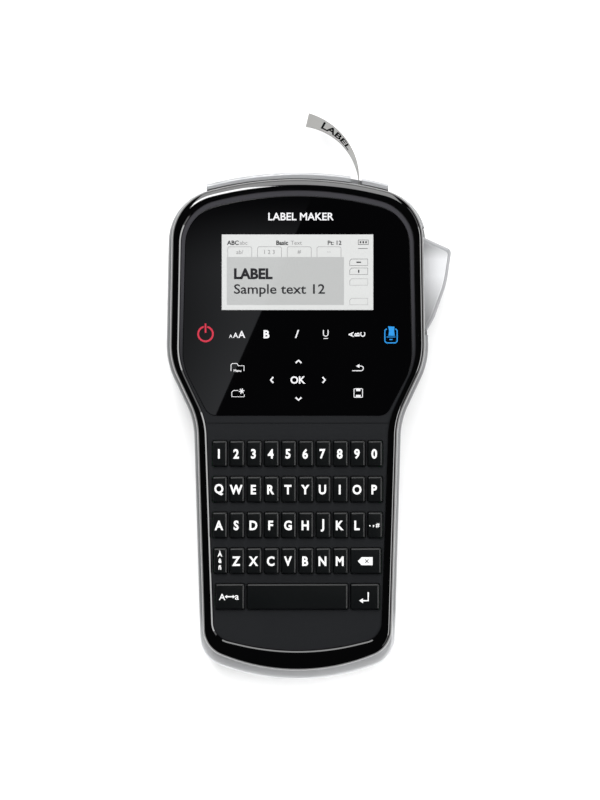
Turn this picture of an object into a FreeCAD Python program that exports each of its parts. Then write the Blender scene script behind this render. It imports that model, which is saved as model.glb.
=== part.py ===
import FreeCAD, Part
import math
import os

# Hand-held label maker, lying on its back.
# +Z points out of the front face, +Y towards the tape exit, +X towards the cutter lever.
# The origin is on the flat back, at the middle of the body. All sizes are in millimetres.

V = FreeCAD.Vector
UP = V(0, 0, 1)
LEVEL_TOLERANCE = 1e-3

# Overall sizes of the casing, as half widths from the middle and places along the body.
HEAD_HALF_WIDTH = 52.9      # widest, beside the window
TOP_Y = 103.5
WAIST_HIGH_Y = 25.7         # where the head starts to narrow
WAIST_LOW_Y = 2.2           # where the grip starts

# Keys: ten columns and five rows. The grip's width and length follow from them.
KEY_PITCH_X = 6.9
KEY_PITCH_Y = 14.3
KEY_WIDTH = 5.9
KEY_HEIGHT = 10.2
KEY_FIRST_ROW_Y = -11.0
KEY_RISE = 1.9
KEY_TRAVEL = 1.0
KEY_CORNER = 0.7
KEY_CROWN = 0.5
KEY_FLANGE = 0.5
KEY_FLANGE_THICK = 1.0
COLUMNS = 10
SPACE_DOMES = 3
KEY_ROWS = [
    [(key, 1) for key in "1234567890"],
    [(key, 1) for key in "qwertyuiop"],
    [(key, 1) for key in "asdfghjkl"] + [("point", 1)],
    [("accent", 1)] + [(key, 1) for key in "zxcvbnm"] + [("backspace", 2)],
    [("shift", 2), ("space", 6), ("enter", 2)],
]
KEY_ROW_TRIMS = [0, 0, 0, 0.5, 1.2]     # off the outer side of each row's two end keys, as the grip tapers
LAST_ROW_Y = KEY_FIRST_ROW_Y - (len(KEY_ROWS) - 1) * KEY_PITCH_Y
KEYBOARD_HALF_WIDTH = COLUMNS * KEY_PITCH_X / 2
GRIP_HALF_WIDTH = KEYBOARD_HALF_WIDTH + 7.3
FOOT_HALF_WIDTH = KEYBOARD_HALF_WIDTH + 4.5
FOOT_CORNER_Y = LAST_ROW_Y - 25.5
FOOT_Y = FOOT_CORNER_Y - 13.8

# Outlines of the right half, from the top's middle to the foot's middle: x, y and corner radius.
CASING_CORNERS = [(0, TOP_Y, 145), (HEAD_HALF_WIDTH - 1.3, TOP_Y - 12.5, 21),
                  (HEAD_HALF_WIDTH, WAIST_HIGH_Y, 31), (GRIP_HALF_WIDTH, WAIST_LOW_Y, 30),
                  (FOOT_HALF_WIDTH, FOOT_CORNER_Y, 12), (0, FOOT_Y, 88)]
BEZEL_CORNERS = [(0, TOP_Y - 0.5, 140), (HEAD_HALF_WIDTH - 2.8, TOP_Y - 12.9, 20.5),
                 (HEAD_HALF_WIDTH - 1.7, WAIST_HIGH_Y + 0.3, 30),
                 (GRIP_HALF_WIDTH - 1.5, WAIST_LOW_Y + 0.6, 31),
                 (FOOT_HALF_WIDTH - 1.4, FOOT_CORNER_Y + 4.7, 11.5), (0, FOOT_Y + 3.5, 80)]
DECK_CORNERS = [(0, TOP_Y - 5.2, 130), (HEAD_HALF_WIDTH - 6.4, TOP_Y - 16.5, 18),
                (HEAD_HALF_WIDTH - 5.3, WAIST_HIGH_Y - 0.2, 28), (GRIP_HALF_WIDTH - 5.1, WAIST_LOW_Y + 0.2, 30),
                (FOOT_HALF_WIDTH - 5.3, FOOT_CORNER_Y + 8.9, 8), (0, FOOT_Y + 14.6, 100)]
PANEL_CORNERS = [(0, TOP_Y - 7.9, 130), (HEAD_HALF_WIDTH - 8.3, TOP_Y - 18.5, 16),
                 (HEAD_HALF_WIDTH - 6.9, WAIST_HIGH_Y - 1.7, 24), (GRIP_HALF_WIDTH - 6.2, WAIST_LOW_Y + 2.0, 5)]

# Label tape, whose width sets the casing's depth, and its curl past the exit.
TAPE_WIDTH = 12.0
TAPE_THICK = 0.2
TAPE_X = 24.9
TAPE_LOW_Z = 10.0
TAPE_Z = TAPE_LOW_Z + TAPE_WIDTH / 2
TAPE_STRAIGHT_END_Y = TOP_Y - 5.5
TAPE_CURL_RADIUS = 26.5
TAPE_CURL_DEG = 78.0
TAPE_TILT_DEG = 31.0
TAPE_SECTIONS = 9
TAPE_SLOT_HALF = 1.1
TAPE_SLOT_MARGIN = 0.9
TAPE_SLOT_SWING = 3.5       # room for the curl as the door's cap swings past it

# Levels and walls.
BAY_ROOF_Z = TAPE_LOW_Z + TAPE_WIDTH + 2.0
GEAR_ROOM = 6.0             # over the bays, for the gears
SPLIT_Z = BAY_ROOF_Z + GEAR_ROOM        # where the rear and front shells meet
FRONT_DEPTH = 17.2
CREST_Z = SPLIT_Z + FRONT_DEPTH         # highest line of the bezel
DECK_SINK = 1.0
DECK_Z = CREST_Z - DECK_SINK            # face of the keyboard deck
DECK_THICK = 2.4
WALL = 2.4
FLOOR = 4.2
LEDGE_THICK = 2.0           # rim of the rear shell that the front shell stands on
ROOF = 2.6
BACK_ROUND = 8.0
BEZEL_ROUND = 2.8
BEZEL_LIP_WIDTH = 0.55
BEZEL_LIP_DROP = 0.3
RIM_ROUND = 1.8
SEAM_GAP = 0.15             # between pieces that stay together
PART_GAP = 0.3              # between pieces that move
CUT_PAST = 1.0              # how far a cut runs past what it opens
DECK_GAP = 0.35             # groove between the bezel and the deck
DECK_FLANGE = 0.6
DECK_FLANGE_THICK = 0.6
DECK_GROOVE_Y = 1.1
DECK_GROOVE = 0.4

# Window panel and display.
PANEL_THICK = 1.3
PANEL_PROUD = 0.3
LCD_HALF_WIDTH = 30.3
LCD_LOW_Y = 46.4
LCD_HIGH_Y = 76.6
LCD_MARGIN = 1.8
LCD_GLASS_THICK = 1.4

# Circuit board, key mat and the sockets in the left wall.
BOARD_DEPTH = 9.0
BOARD_Z = DECK_Z - BOARD_DEPTH
BOARD_INSET = 4.0
BOARD_THICK = 1.6
MAT_THICK = 1.0
MAT_MARGIN = 2.0
DOME_RADIUS = 2.1
USB_WIDTH = 7.6
USB_HEIGHT = 2.8
USB_Y = 52.0
JACK_WIDTH = 7.0
JACK_HEIGHT = 6.0
JACK_BORE = 1.75
JACK_Y = 64.0
SOCKET_DEPTH = 8.0
SOCKET_OPEN_DEPTH = 6.4
CHIP_SIZE = 12.0

# Case screws: distance in from the casing's edge, and places along the body.
SCREW_INSET = WALL + 2.4
SCREW_YS = (FOOT_CORNER_Y + 9.7, 3.0, 31.0)
SCREW_RADIUS = 1.2
SCREW_HEAD_RADIUS = 2.5
SCREW_HEAD_THICK = 1.8
SCREW_SINK = 5.0
SCREW_TIP_GAP = 4.0
SCREW_SLOT_HALF_LENGTH = 1.5
SCREW_SLOT_HALF_WIDTH = 0.36
BOSS_RADIUS = 3.9
FRONT_BOSS_RADIUS = 3.0

# Lids on the back, and the silver cap that the cassette door carries over the top.
LID_THICK = 2.6
DOOR_HALF_WIDTH = 36.6
DOOR_LOW_Y = 24.0
CAP_CENTRE_Y = TOP_Y - 1.5
CAP_RADIUS = 142.0
CAP_FRONT_Z = SPLIT_Z + 3.0
CAP_ROUND = 1.0
DOOR_PIN_RADIUS = 0.8
DOOR_PIN_LENGTH = 2.2
PIN_CLEARANCE = 0.05
COVER_HALF_WIDTH = 28.0
COVER_HIGH_Y = -24.0
COVER_RIM_Z = 10.0

# Bays behind the lids.
BAY_WALL = 1.5
BAY_TOP_WALL = 4.5
BAY_HALF_WIDTH = 35.0
BAY_LOW_Y = 30.5
BAY_HIGH_Y = TOP_Y - 11.5
BATTERY_BAY_HALF_WIDTH = 27.0
BATTERY_BAY_LOW_Y = FOOT_CORNER_Y + 5.2
BATTERY_BAY_HIGH_Y = -29.5
BATTERY_BAY_ROOF_Z = BAY_ROOF_Z - 2.0
BATTERY_CLEARANCE = 0.6
BATTERY_ROUND = 2.4

# Tape cassette.
CASSETTE_HALF_WIDTH = BAY_HALF_WIDTH - 1.5
CASSETTE_LOW_Y = BAY_LOW_Y + 2.5
CASSETTE_HIGH_Y = BAY_HIGH_Y - 6.0
CASSETTE_STEP_Y = CASSETTE_HIGH_Y - 16.5
CASSETTE_STEP_X = 18.5
CASSETTE_LOW_Z = 4.8
CASSETTE_THICK = TAPE_WIDTH + 6.0
CASSETTE_CORNER = 3.0
SPOOL_RADIUS = 5.0

# Print head, feed roller, motor and gears.
ROLLER_RADIUS = 4.0
ROLLER_Y = CASSETTE_HIGH_Y - 9.0
ROLLER_LOW_Z = TAPE_LOW_Z - 1.5
BAY_SIDE_END_Y = ROLLER_Y - 6.0
SHAFT_RADIUS = 1.5
SHAFT_LOW_Z = 6.5
HEAD_THICK = 3.0
HEAD_HALF_HEIGHT = 4.5
HEAD_LOW_Z = 7.5
GEAR_MODULE = 0.6
ROLLER_TEETH = 20
PINION_TEETH = 10
GEAR_THICK = 1.6
GEAR_BACKLASH = 0.1
GEAR_ADDENDUM = 0.45
GEAR_DEDENDUM = 0.65
TOOTH_ROOT_SHARE = 0.27
TOOTH_TIP_SHARE = 0.11
PINION_ANGLE_DEG = 225.0
MOTOR_RADIUS = 10.5
MOTOR_HEIGHT = 8.5
MOTOR_ROUND = 1.0
MOTOR_SHAFT_RADIUS = 0.75
MOTOR_SHAFT_DEPTH = 4.0

# Cutter lever and blade. The lever's outlines start from the casing's side and the blade's line.
BLADE_Y = CASSETTE_HIGH_Y
BLADE_TIP_X = 33.0
BLADE_THICK = 0.6
BLADE_LOW_Z = TAPE_LOW_Z - 1.0
BLADE_BEVEL = 1.5
BLADE_TAIL_CORNER = 3.0
LEVER_PIVOT = (HEAD_HALF_WIDTH - 5.9, 42.0)
LEVER_POST_RADIUS = 2.0
LEVER_LOW_Z = 9.0
LEVER_HIGH_Z = SPLIT_Z - 1.0
LEVER_WING = [(HEAD_HALF_WIDTH - 6.4, 77.9, 1.5), (HEAD_HALF_WIDTH + 9.3, 71.0, 2.2),
              (HEAD_HALF_WIDTH + 7.1, 57.0, 40), (HEAD_HALF_WIDTH + 2.3, 43.4, 20),
              (HEAD_HALF_WIDTH - 0.7, 38.3, 1.0), (HEAD_HALF_WIDTH - 8.7, 38.6, 2.0),
              (HEAD_HALF_WIDTH - 9.3, 70.0, 10)]
LEVER_ARM = [(HEAD_HALF_WIDTH - 9.1, 62.0, 1), (HEAD_HALF_WIDTH - 4.4, 62.0, 1),
             (HEAD_HALF_WIDTH - 4.6, BLADE_Y - 10.0, 2), (HEAD_HALF_WIDTH - 9.3, BLADE_Y + 1.4, 0.8),
             (HEAD_HALF_WIDTH - 11.6, BLADE_Y + 1.4, 0.8), (HEAD_HALF_WIDTH - 11.6, BLADE_Y - 6.0, 4)]
LEVER_ARM_LOW_Z = 12.0
LEVER_ARM_HIGH_Z = LEVER_ARM_LOW_Z + 9.0
LEVER_NOTCH_LOW_Y = 36.6
LEVER_NOTCH_HIGH_Y = 80.0
LEVER_ROUND = 1.2
GUIDE_DEPTH = 4.0
GUIDE_LOW_X = 27.0
GUIDE_HIGH_X = 33.6


def outline(corners, closed_half=True):
    """Closed wire of straight runs and tangent arcs through corners given as x, y, radius."""
    if closed_half:
        mirrored = [(-x, y, r) for x, y, r in reversed(corners) if x > 0]
        corners = corners + mirrored
    points = [V(x, y, 0) for x, y, _ in corners]
    count = len(corners)
    starts, mids, ends = [], [], []
    for i, (_, _, radius) in enumerate(corners):
        here = points[i]
        back = (points[i - 1] - here).normalize()
        ahead = (points[(i + 1) % count] - here).normalize()
        half = back.getAngle(ahead) / 2
        reach = radius / math.tan(half)
        inward = (back + ahead).normalize()
        starts.append(here + back * reach)
        ends.append(here + ahead * reach)
        mids.append(here + inward * (radius / math.sin(half) - radius))
    edges = []
    for i in range(count):
        edges.append(Part.Arc(starts[i], mids[i], ends[i]).toShape())
        following = starts[(i + 1) % count]
        if (following - ends[i]).Length > 1e-6:
            edges.append(Part.LineSegment(ends[i], following).toShape())
    return Part.Wire(edges)


def grown(wire, distance):
    """Copy of a flat wire, moved outwards by distance, or inwards if that is negative."""
    return wire.makeOffset2D(distance)


def prism(wire, low_z, high_z):
    """Solid of a flat wire between two levels."""
    solid = Part.Face(wire).extrude(V(0, 0, high_z - low_z))
    solid.translate(V(0, 0, low_z))
    return solid


def block(low_x, high_x, low_y, high_y, low_z, high_z):
    """Box between two corners."""
    return Part.makeBox(high_x - low_x, high_y - low_y, high_z - low_z, V(low_x, low_y, low_z))


def tile(low_x, high_x, low_y, high_y, low_z, high_z, radius):
    """Box whose four upright edges are rounded."""
    corners = [(low_x, low_y, radius), (high_x, low_y, radius), (high_x, high_y, radius),
               (low_x, high_y, radius)]
    return prism(outline(corners, closed_half=False), low_z, high_z)


def rod(x, y, low_z, high_z, radius):
    """Upright cylinder."""
    return Part.makeCylinder(radius, high_z - low_z, V(x, y, low_z))


def level_edges(shape, level):
    """Edges of a shape that lie flat at one level."""
    return [edge for edge in shape.Edges
            if abs(edge.BoundBox.ZMin - level) < LEVEL_TOLERANCE
            and abs(edge.BoundBox.ZMax - level) < LEVEL_TOLERANCE]


def clean(shape):
    """Shape with the seams of its boolean steps removed."""
    return shape.removeSplitter()


def half_width(corners, y):
    """Half width of an outline at a height along the body."""
    reach = max(x for x, _, _ in corners) + 1
    line = Part.LineSegment(V(0, y, 0), V(reach, y, 0)).toShape()
    return outline(corners).distToShape(line)[1][0][0].x


def screw_places():
    """Centres of the six case screws."""
    return [(side * (half_width(CASING_CORNERS, y) - SCREW_INSET), y) for y in SCREW_YS for side in (-1, 1)]


def pinion_place():
    """Centre of the motor's pinion, in mesh with the roller's gear."""
    reach = GEAR_MODULE * (ROLLER_TEETH + PINION_TEETH) / 2 + GEAR_BACKLASH
    angle = math.radians(PINION_ANGLE_DEG)
    return (roller_x() + reach * math.cos(angle), ROLLER_Y + reach * math.sin(angle))


def roller_x():
    """Place of the roller's axis, one running gap from the tape."""
    return TAPE_X + TAPE_THICK / 2 + PART_GAP + ROLLER_RADIUS


def gear_low_z():
    """Lower face of the two gears, over the bay's roof."""
    return BAY_ROOF_Z + BAY_WALL + PART_GAP


def front_boss_top():
    """Top of the front shell's screw bosses, just under the deck."""
    return DECK_Z - DECK_THICK - PART_GAP


def front_shell():
    """Glossy bezel with its side walls, screw bosses and socket openings."""
    edge = outline(BEZEL_CORNERS)
    shell = prism(edge, SPLIT_Z, CREST_Z)
    shell = shell.makeFillet(BEZEL_ROUND, level_edges(shell, CREST_Z))
    shell = shell.cut(prism(grown(edge, -WALL), SPLIT_Z - CUT_PAST, CREST_Z - ROOF))
    shell = shell.cut(prism(outline(DECK_CORNERS), CREST_Z - ROOF - CUT_PAST, CREST_Z + CUT_PAST))
    hole = outline(DECK_CORNERS)
    hole.translate(V(0, 0, CREST_Z))
    lip = [e for e in level_edges(shell, CREST_Z) if e.distToShape(hole)[0] < SEAM_GAP]
    shell = shell.makeChamfer(BEZEL_LIP_DROP, BEZEL_LIP_WIDTH, lip)
    boss_top = front_boss_top()
    for x, y in screw_places():
        boss = rod(x, y, SPLIT_Z, boss_top, FRONT_BOSS_RADIUS)
        side = math.copysign(1, x)
        web = block(min(x, x + side * SCREW_INSET / 2), max(x, x + side * SCREW_INSET / 2),
                    y - FRONT_BOSS_RADIUS, y + FRONT_BOSS_RADIUS, SPLIT_Z, boss_top)
        shell = shell.fuse(boss).fuse(web)
    for x, y in screw_places():
        shell = shell.cut(rod(x, y, SPLIT_Z - CUT_PAST, boss_top - WALL, SCREW_RADIUS + PIN_CLEARANCE))
    low_x = -half_width(BEZEL_CORNERS, USB_Y) - CUT_PAST
    socket_z = BOARD_Z - SEAM_GAP
    shell = shell.cut(block(low_x, low_x + WALL * 2, USB_Y - USB_WIDTH / 2 - PART_GAP,
                            USB_Y + USB_WIDTH / 2 + PART_GAP, socket_z - USB_HEIGHT - PART_GAP,
                            socket_z + PART_GAP))
    jack = Part.makeCylinder(JACK_BORE + PART_GAP, WALL * 2,
                             V(low_x, JACK_Y, BOARD_Z - JACK_HEIGHT / 2), V(1, 0, 0))
    return clean(shell.cut(jack))


def key_places():
    """Every key's name, centre and width, row by row."""
    places = []
    for row, keys in enumerate(KEY_ROWS):
        y = KEY_FIRST_ROW_Y - row * KEY_PITCH_Y
        column = 0
        for name, span in keys:
            x = (column + (span - 1) / 2 - (COLUMNS - 1) / 2) * KEY_PITCH_X
            width = KEY_WIDTH + (span - 1) * KEY_PITCH_X
            if name in (keys[0][0], keys[-1][0]):
                width -= KEY_ROW_TRIMS[row]
                x -= math.copysign(KEY_ROW_TRIMS[row] / 2, x)
            places.append((name, x, y, width))
            column += span
    return places


def keyboard_deck():
    """Charcoal frame round the window, with a hole for each key and a seat for the panel."""
    edge = outline(DECK_CORNERS)
    low = DECK_Z - DECK_THICK
    deck = prism(grown(edge, -DECK_GAP), low, DECK_Z)
    inside = prism(grown(outline(BEZEL_CORNERS), -WALL - PART_GAP), low, low + DECK_FLANGE_THICK)
    deck = deck.fuse(prism(grown(edge, DECK_FLANGE), low, low + DECK_FLANGE_THICK).common(inside))
    seat = grown(outline(PANEL_CORNERS), SEAM_GAP)
    deck = deck.cut(prism(seat, DECK_Z + PANEL_PROUD - PANEL_THICK, DECK_Z + CUT_PAST))
    deck = deck.cut(block(-LCD_HALF_WIDTH - PART_GAP, LCD_HALF_WIDTH + PART_GAP, LCD_LOW_Y - PART_GAP,
                          LCD_HIGH_Y + PART_GAP, low - CUT_PAST, DECK_Z))
    half = DECK_GROOVE / 2
    deck = deck.cut(block(-HEAD_HALF_WIDTH, HEAD_HALF_WIDTH, DECK_GROOVE_Y - half,
                          DECK_GROOVE_Y + half, DECK_Z - DECK_GROOVE, DECK_Z + CUT_PAST))
    holes = []
    for _, x, y, width in key_places():
        half_x = width / 2 + PART_GAP
        half_y = KEY_HEIGHT / 2 + PART_GAP
        holes.append(tile(x - half_x, x + half_x, y - half_y, y + half_y, low - CUT_PAST,
                          DECK_Z + CUT_PAST, KEY_CORNER + PART_GAP))
    return clean(deck.cut(Part.makeCompound(holes)))


def front_panel():
    """Glossy window panel, seated in the deck and a little proud of it."""
    high = DECK_Z + PANEL_PROUD
    panel = prism(outline(PANEL_CORNERS), high - PANEL_THICK, high)
    return panel.makeFillet(PANEL_PROUD / 2, level_edges(panel, high))


def display_module():
    """Display: its frame under the deck and its glass up in the deck's opening."""
    seat = DECK_Z - DECK_THICK - PART_GAP
    low = BOARD_Z + BOARD_THICK
    frame = block(-LCD_HALF_WIDTH - LCD_MARGIN, LCD_HALF_WIDTH + LCD_MARGIN, LCD_LOW_Y - LCD_MARGIN,
                  LCD_HIGH_Y + LCD_MARGIN, low, seat)
    glass = block(-LCD_HALF_WIDTH, LCD_HALF_WIDTH, LCD_LOW_Y, LCD_HIGH_Y, seat, seat + LCD_GLASS_THICK)
    return clean(frame.fuse(glass))


def key_cap(x, y, width):
    """One key: a cap with a soft edge, and a flange that the deck holds down."""
    low = DECK_Z - DECK_THICK - PART_GAP - KEY_FLANGE_THICK
    high = DECK_Z + KEY_RISE
    half_x = width / 2
    half_y = KEY_HEIGHT / 2
    cap = tile(x - half_x, x + half_x, y - half_y, y + half_y, low, high, KEY_CORNER)
    cap = cap.makeFillet(KEY_CROWN, level_edges(cap, high))
    flange = block(x - half_x + KEY_CORNER, x + half_x - KEY_CORNER, y - half_y - KEY_FLANGE,
                   y + half_y + KEY_FLANGE, low, low + KEY_FLANGE_THICK)
    return clean(cap.fuse(flange))


def key_mat():
    """Silicone sheet with one dome under each key, or three under the space bar."""
    low = BOARD_Z + BOARD_THICK
    dome_top = DECK_Z - DECK_THICK - PART_GAP - KEY_FLANGE_THICK - KEY_TRAVEL - PART_GAP
    half_x = KEYBOARD_HALF_WIDTH - MAT_MARGIN
    half_y = KEY_HEIGHT / 2 + MAT_MARGIN / 2
    mat = tile(-half_x, half_x, LAST_ROW_Y - half_y, KEY_FIRST_ROW_Y + half_y, low, low + MAT_THICK,
               MAT_MARGIN)
    for name, x, y, width in key_places():
        count = SPACE_DOMES if name == "space" else 1
        for place in range(count):
            dome_x = x + (place - (count - 1) / 2) * width / count
            mat = mat.fuse(rod(dome_x, y, low + MAT_THICK / 2, dome_top, DOME_RADIUS))
    return clean(mat)


def main_board():
    """Circuit board with its controller, its USB socket and its power jack."""
    low = BOARD_Z
    board = prism(grown(outline(BEZEL_CORNERS), -BOARD_INSET), low, low + BOARD_THICK)
    for x, y in screw_places():
        board = board.cut(rod(x, y, low - CUT_PAST, low + BOARD_THICK + CUT_PAST,
                              FRONT_BOSS_RADIUS + PART_GAP))
        side = math.copysign(1, x)
        board = board.cut(block(min(x, x + side * SCREW_INSET), max(x, x + side * SCREW_INSET),
                                y - FRONT_BOSS_RADIUS - PART_GAP, y + FRONT_BOSS_RADIUS + PART_GAP,
                                low - CUT_PAST, low + BOARD_THICK + CUT_PAST))
    wall_x = -half_width(BEZEL_CORNERS, JACK_Y + JACK_WIDTH) + WALL + PART_GAP
    usb = block(wall_x, wall_x + SOCKET_DEPTH, USB_Y - USB_WIDTH / 2, USB_Y + USB_WIDTH / 2,
                low - USB_HEIGHT, low)
    usb = usb.cut(block(wall_x - CUT_PAST, wall_x + SOCKET_OPEN_DEPTH, USB_Y - USB_WIDTH / 2 + PART_GAP,
                        USB_Y + USB_WIDTH / 2 - PART_GAP, low - USB_HEIGHT + PART_GAP, low - PART_GAP))
    jack = block(wall_x, wall_x + SOCKET_DEPTH, JACK_Y - JACK_WIDTH / 2, JACK_Y + JACK_WIDTH / 2,
                 low - JACK_HEIGHT, low)
    jack = jack.cut(Part.makeCylinder(JACK_BORE, SOCKET_OPEN_DEPTH,
                                      V(wall_x, JACK_Y, low - JACK_HEIGHT / 2), V(1, 0, 0)))
    chip = block(-CHIP_SIZE / 2, CHIP_SIZE / 2, CHIP_SIZE, CHIP_SIZE * 2, low - BOARD_THICK, low)
    return clean(board.fuse(usb).fuse(jack).fuse(chip))


def lid_core(gap, outset):
    """Space inside a lid: the casing's outline moved outwards, one lid's thickness off the back."""
    core = prism(grown(outline(CASING_CORNERS), outset - gap), LID_THICK + gap, SPLIT_Z * 2)
    return core.makeFillet(BACK_ROUND - LID_THICK, level_edges(core, LID_THICK + gap))


def door_plan(half_width, low_y, extra):
    """Outline of the cassette door and its cap, seen from the front."""
    edge_y = CAP_CENTRE_Y - CAP_RADIUS + math.sqrt(CAP_RADIUS ** 2 - half_width ** 2) + extra
    corners = [V(half_width, edge_y, 0), V(half_width, low_y, 0), V(-half_width, low_y, 0),
               V(-half_width, edge_y, 0)]
    edges = [Part.LineSegment(corners[i], corners[i + 1]).toShape() for i in range(3)]
    edges.append(Part.Arc(corners[3], V(0, CAP_CENTRE_Y + extra, 0), corners[0]).toShape())
    return Part.Wire(edges)


def cassette_door():
    """Door over the cassette bay, with the cap that folds over the top of the casing."""
    hinge_y = DOOR_LOW_Y + LID_THICK / 2
    hinge_z = LID_THICK / 2
    door = prism(door_plan(DOOR_HALF_WIDTH, hinge_y, 0), 0, CAP_FRONT_Z)
    back = [e for e in level_edges(door, 0) if e.Curve.TypeId == "Part::GeomCircle"]
    door = door.makeFillet(BACK_ROUND, back)
    front = [e for e in level_edges(door, CAP_FRONT_Z) if e.Curve.TypeId == "Part::GeomCircle"]
    door = door.makeFillet(CAP_ROUND, front)
    door = door.cut(lid_core(0, PART_GAP))
    span = DOOR_HALF_WIDTH * 2
    door = door.fuse(Part.makeCylinder(LID_THICK / 2, span, V(-DOOR_HALF_WIDTH, hinge_y, hinge_z), V(1, 0, 0)))
    pin_x = DOOR_HALF_WIDTH + DOOR_PIN_LENGTH
    door = door.fuse(Part.makeCylinder(DOOR_PIN_RADIUS, pin_x * 2, V(-pin_x, hinge_y, hinge_z), V(1, 0, 0)))
    slot_low = TAPE_LOW_Z - TAPE_SLOT_MARGIN
    door = door.cut(block(TAPE_X - TAPE_SLOT_SWING, TAPE_X + TAPE_SLOT_HALF, CASSETTE_HIGH_Y,
                          CAP_CENTRE_Y + CUT_PAST, slot_low, CAP_FRONT_Z + CUT_PAST))
    return clean(door)


def battery_cover():
    """Cover over the battery bay, carried round the foot so that it slides off along the body."""
    solid = casing_solid()
    zone = block(-COVER_HALF_WIDTH, COVER_HALF_WIDTH, FOOT_Y, COVER_HIGH_Y, 0, COVER_RIM_Z)
    cover = solid.common(zone).cut(lid_core(0, -LID_THICK))
    return clean(cover)


def casing_solid():
    """Full outer shape of the rear casing."""
    solid = prism(outline(CASING_CORNERS), 0, SPLIT_Z)
    solid = solid.makeFillet(BACK_ROUND, level_edges(solid, 0))
    return solid.makeFillet(RIM_ROUND, level_edges(solid, SPLIT_Z))


def rear_shell():
    """Silver rear casing with its two bays, lid seats, bosses, lever opening and tape slot."""
    inside = prism(grown(outline(CASING_CORNERS), -WALL), FLOOR, SPLIT_Z - LEDGE_THICK)
    inside = inside.makeFillet(BACK_ROUND - WALL, level_edges(inside, FLOOR))
    mouth = prism(grown(outline(BEZEL_CORNERS), -WALL), SPLIT_Z - LEDGE_THICK * 2, SPLIT_Z + CUT_PAST)
    shell = casing_solid().cut(inside).cut(mouth)
    limit = prism(grown(outline(CASING_CORNERS), -WALL / 2), FLOOR / 2, SPLIT_Z)
    bay = block(-BAY_HALF_WIDTH - BAY_WALL, BAY_HALF_WIDTH + BAY_WALL, BAY_LOW_Y - BAY_WALL,
                BAY_HIGH_Y + BAY_TOP_WALL, FLOOR / 2, BAY_ROOF_Z + BAY_WALL)
    battery = block(-BATTERY_BAY_HALF_WIDTH - BAY_WALL, BATTERY_BAY_HALF_WIDTH + BAY_WALL,
                    BATTERY_BAY_LOW_Y - BAY_WALL, BATTERY_BAY_HIGH_Y + BAY_WALL, FLOOR / 2,
                    BATTERY_BAY_ROOF_Z + BAY_WALL)
    shell = shell.fuse(bay.common(limit)).fuse(battery.common(limit))
    for x, y in screw_places():
        shell = shell.fuse(rod(x, y, 0, SPLIT_Z, BOSS_RADIUS).common(casing_solid()))
    shell = shell.cut(block(-BAY_HALF_WIDTH, BAY_HALF_WIDTH, BAY_LOW_Y, BAY_HIGH_Y, 0, BAY_ROOF_Z))
    shell = shell.cut(block(-BATTERY_BAY_HALF_WIDTH, BATTERY_BAY_HALF_WIDTH, BATTERY_BAY_LOW_Y,
                            BATTERY_BAY_HIGH_Y, 0, BATTERY_BAY_ROOF_Z))
    shell = shell.cut(lid_seats())
    for x, y in screw_places():
        shell = shell.cut(rod(x, y, -CUT_PAST, SPLIT_Z + CUT_PAST, SCREW_RADIUS + PART_GAP))
        shell = shell.cut(rod(x, y, -CUT_PAST, SCREW_SINK, SCREW_HEAD_RADIUS + PART_GAP))
    shell = cut_for_lever(shell)
    slot_high = TAPE_LOW_Z + TAPE_WIDTH + TAPE_SLOT_MARGIN
    shell = shell.cut(block(TAPE_X - TAPE_SLOT_HALF, TAPE_X + TAPE_SLOT_HALF, CASSETTE_HIGH_Y,
                            CAP_CENTRE_Y, -CUT_PAST, slot_high))
    roller_bore = rod(roller_x(), ROLLER_Y, BAY_ROOF_Z - CUT_PAST, SPLIT_Z, SHAFT_RADIUS + PIN_CLEARANCE)
    return clean(shell.cut(roller_bore))


def lid_seats():
    """What the rear shell loses to the cassette door and the battery cover."""
    hinge_y = DOOR_LOW_Y + LID_THICK / 2
    low_y = DOOR_LOW_Y - PART_GAP
    door = prism(door_plan(DOOR_HALF_WIDTH + PART_GAP, low_y, CUT_PAST), -CUT_PAST, CAP_FRONT_Z)
    door = door.cut(lid_core(PART_GAP, PART_GAP))
    reach = DOOR_HALF_WIDTH + DOOR_PIN_LENGTH + PART_GAP
    bore = Part.makeCylinder(DOOR_PIN_RADIUS + PIN_CLEARANCE, reach * 2, V(-reach, hinge_y, LID_THICK / 2),
                             V(1, 0, 0))
    cover = block(-COVER_HALF_WIDTH - PART_GAP, COVER_HALF_WIDTH + PART_GAP, FOOT_Y,
                  COVER_HIGH_Y + PART_GAP, -CUT_PAST, COVER_RIM_Z + PART_GAP)
    cover = cover.cut(lid_core(PART_GAP, -LID_THICK))
    return door.fuse(bore).fuse(cover)


def cut_for_lever(shell):
    """Rear shell with the lever's opening and post, and the blade's guide."""
    right = BAY_HALF_WIDTH + BAY_WALL
    shell = shell.cut(block(right, HEAD_HALF_WIDTH + CUT_PAST, LEVER_NOTCH_LOW_Y, LEVER_NOTCH_HIGH_Y,
                            LEVER_LOW_Z - PART_GAP, SPLIT_Z + CUT_PAST))
    shell = shell.cut(block(BAY_HALF_WIDTH - CUT_PAST, right + CUT_PAST, BAY_SIDE_END_Y, BAY_HIGH_Y,
                            BLADE_LOW_Z - PART_GAP * 2, BAY_ROOF_Z))
    shell = shell.fuse(rod(*LEVER_PIVOT, FLOOR / 2, LEVER_HIGH_Z, LEVER_POST_RADIUS))
    gap = BLADE_THICK / 2 + PIN_CLEARANCE * 2
    for side in (-1, 1):
        near = BLADE_Y + side * gap
        far = near + side * BAY_WALL
        shell = shell.fuse(block(GUIDE_LOW_X, GUIDE_HIGH_X, min(near, far), max(near, far),
                                 BAY_ROOF_Z - GUIDE_DEPTH, BAY_ROOF_Z + BAY_WALL / 2))
    return shell


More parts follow.
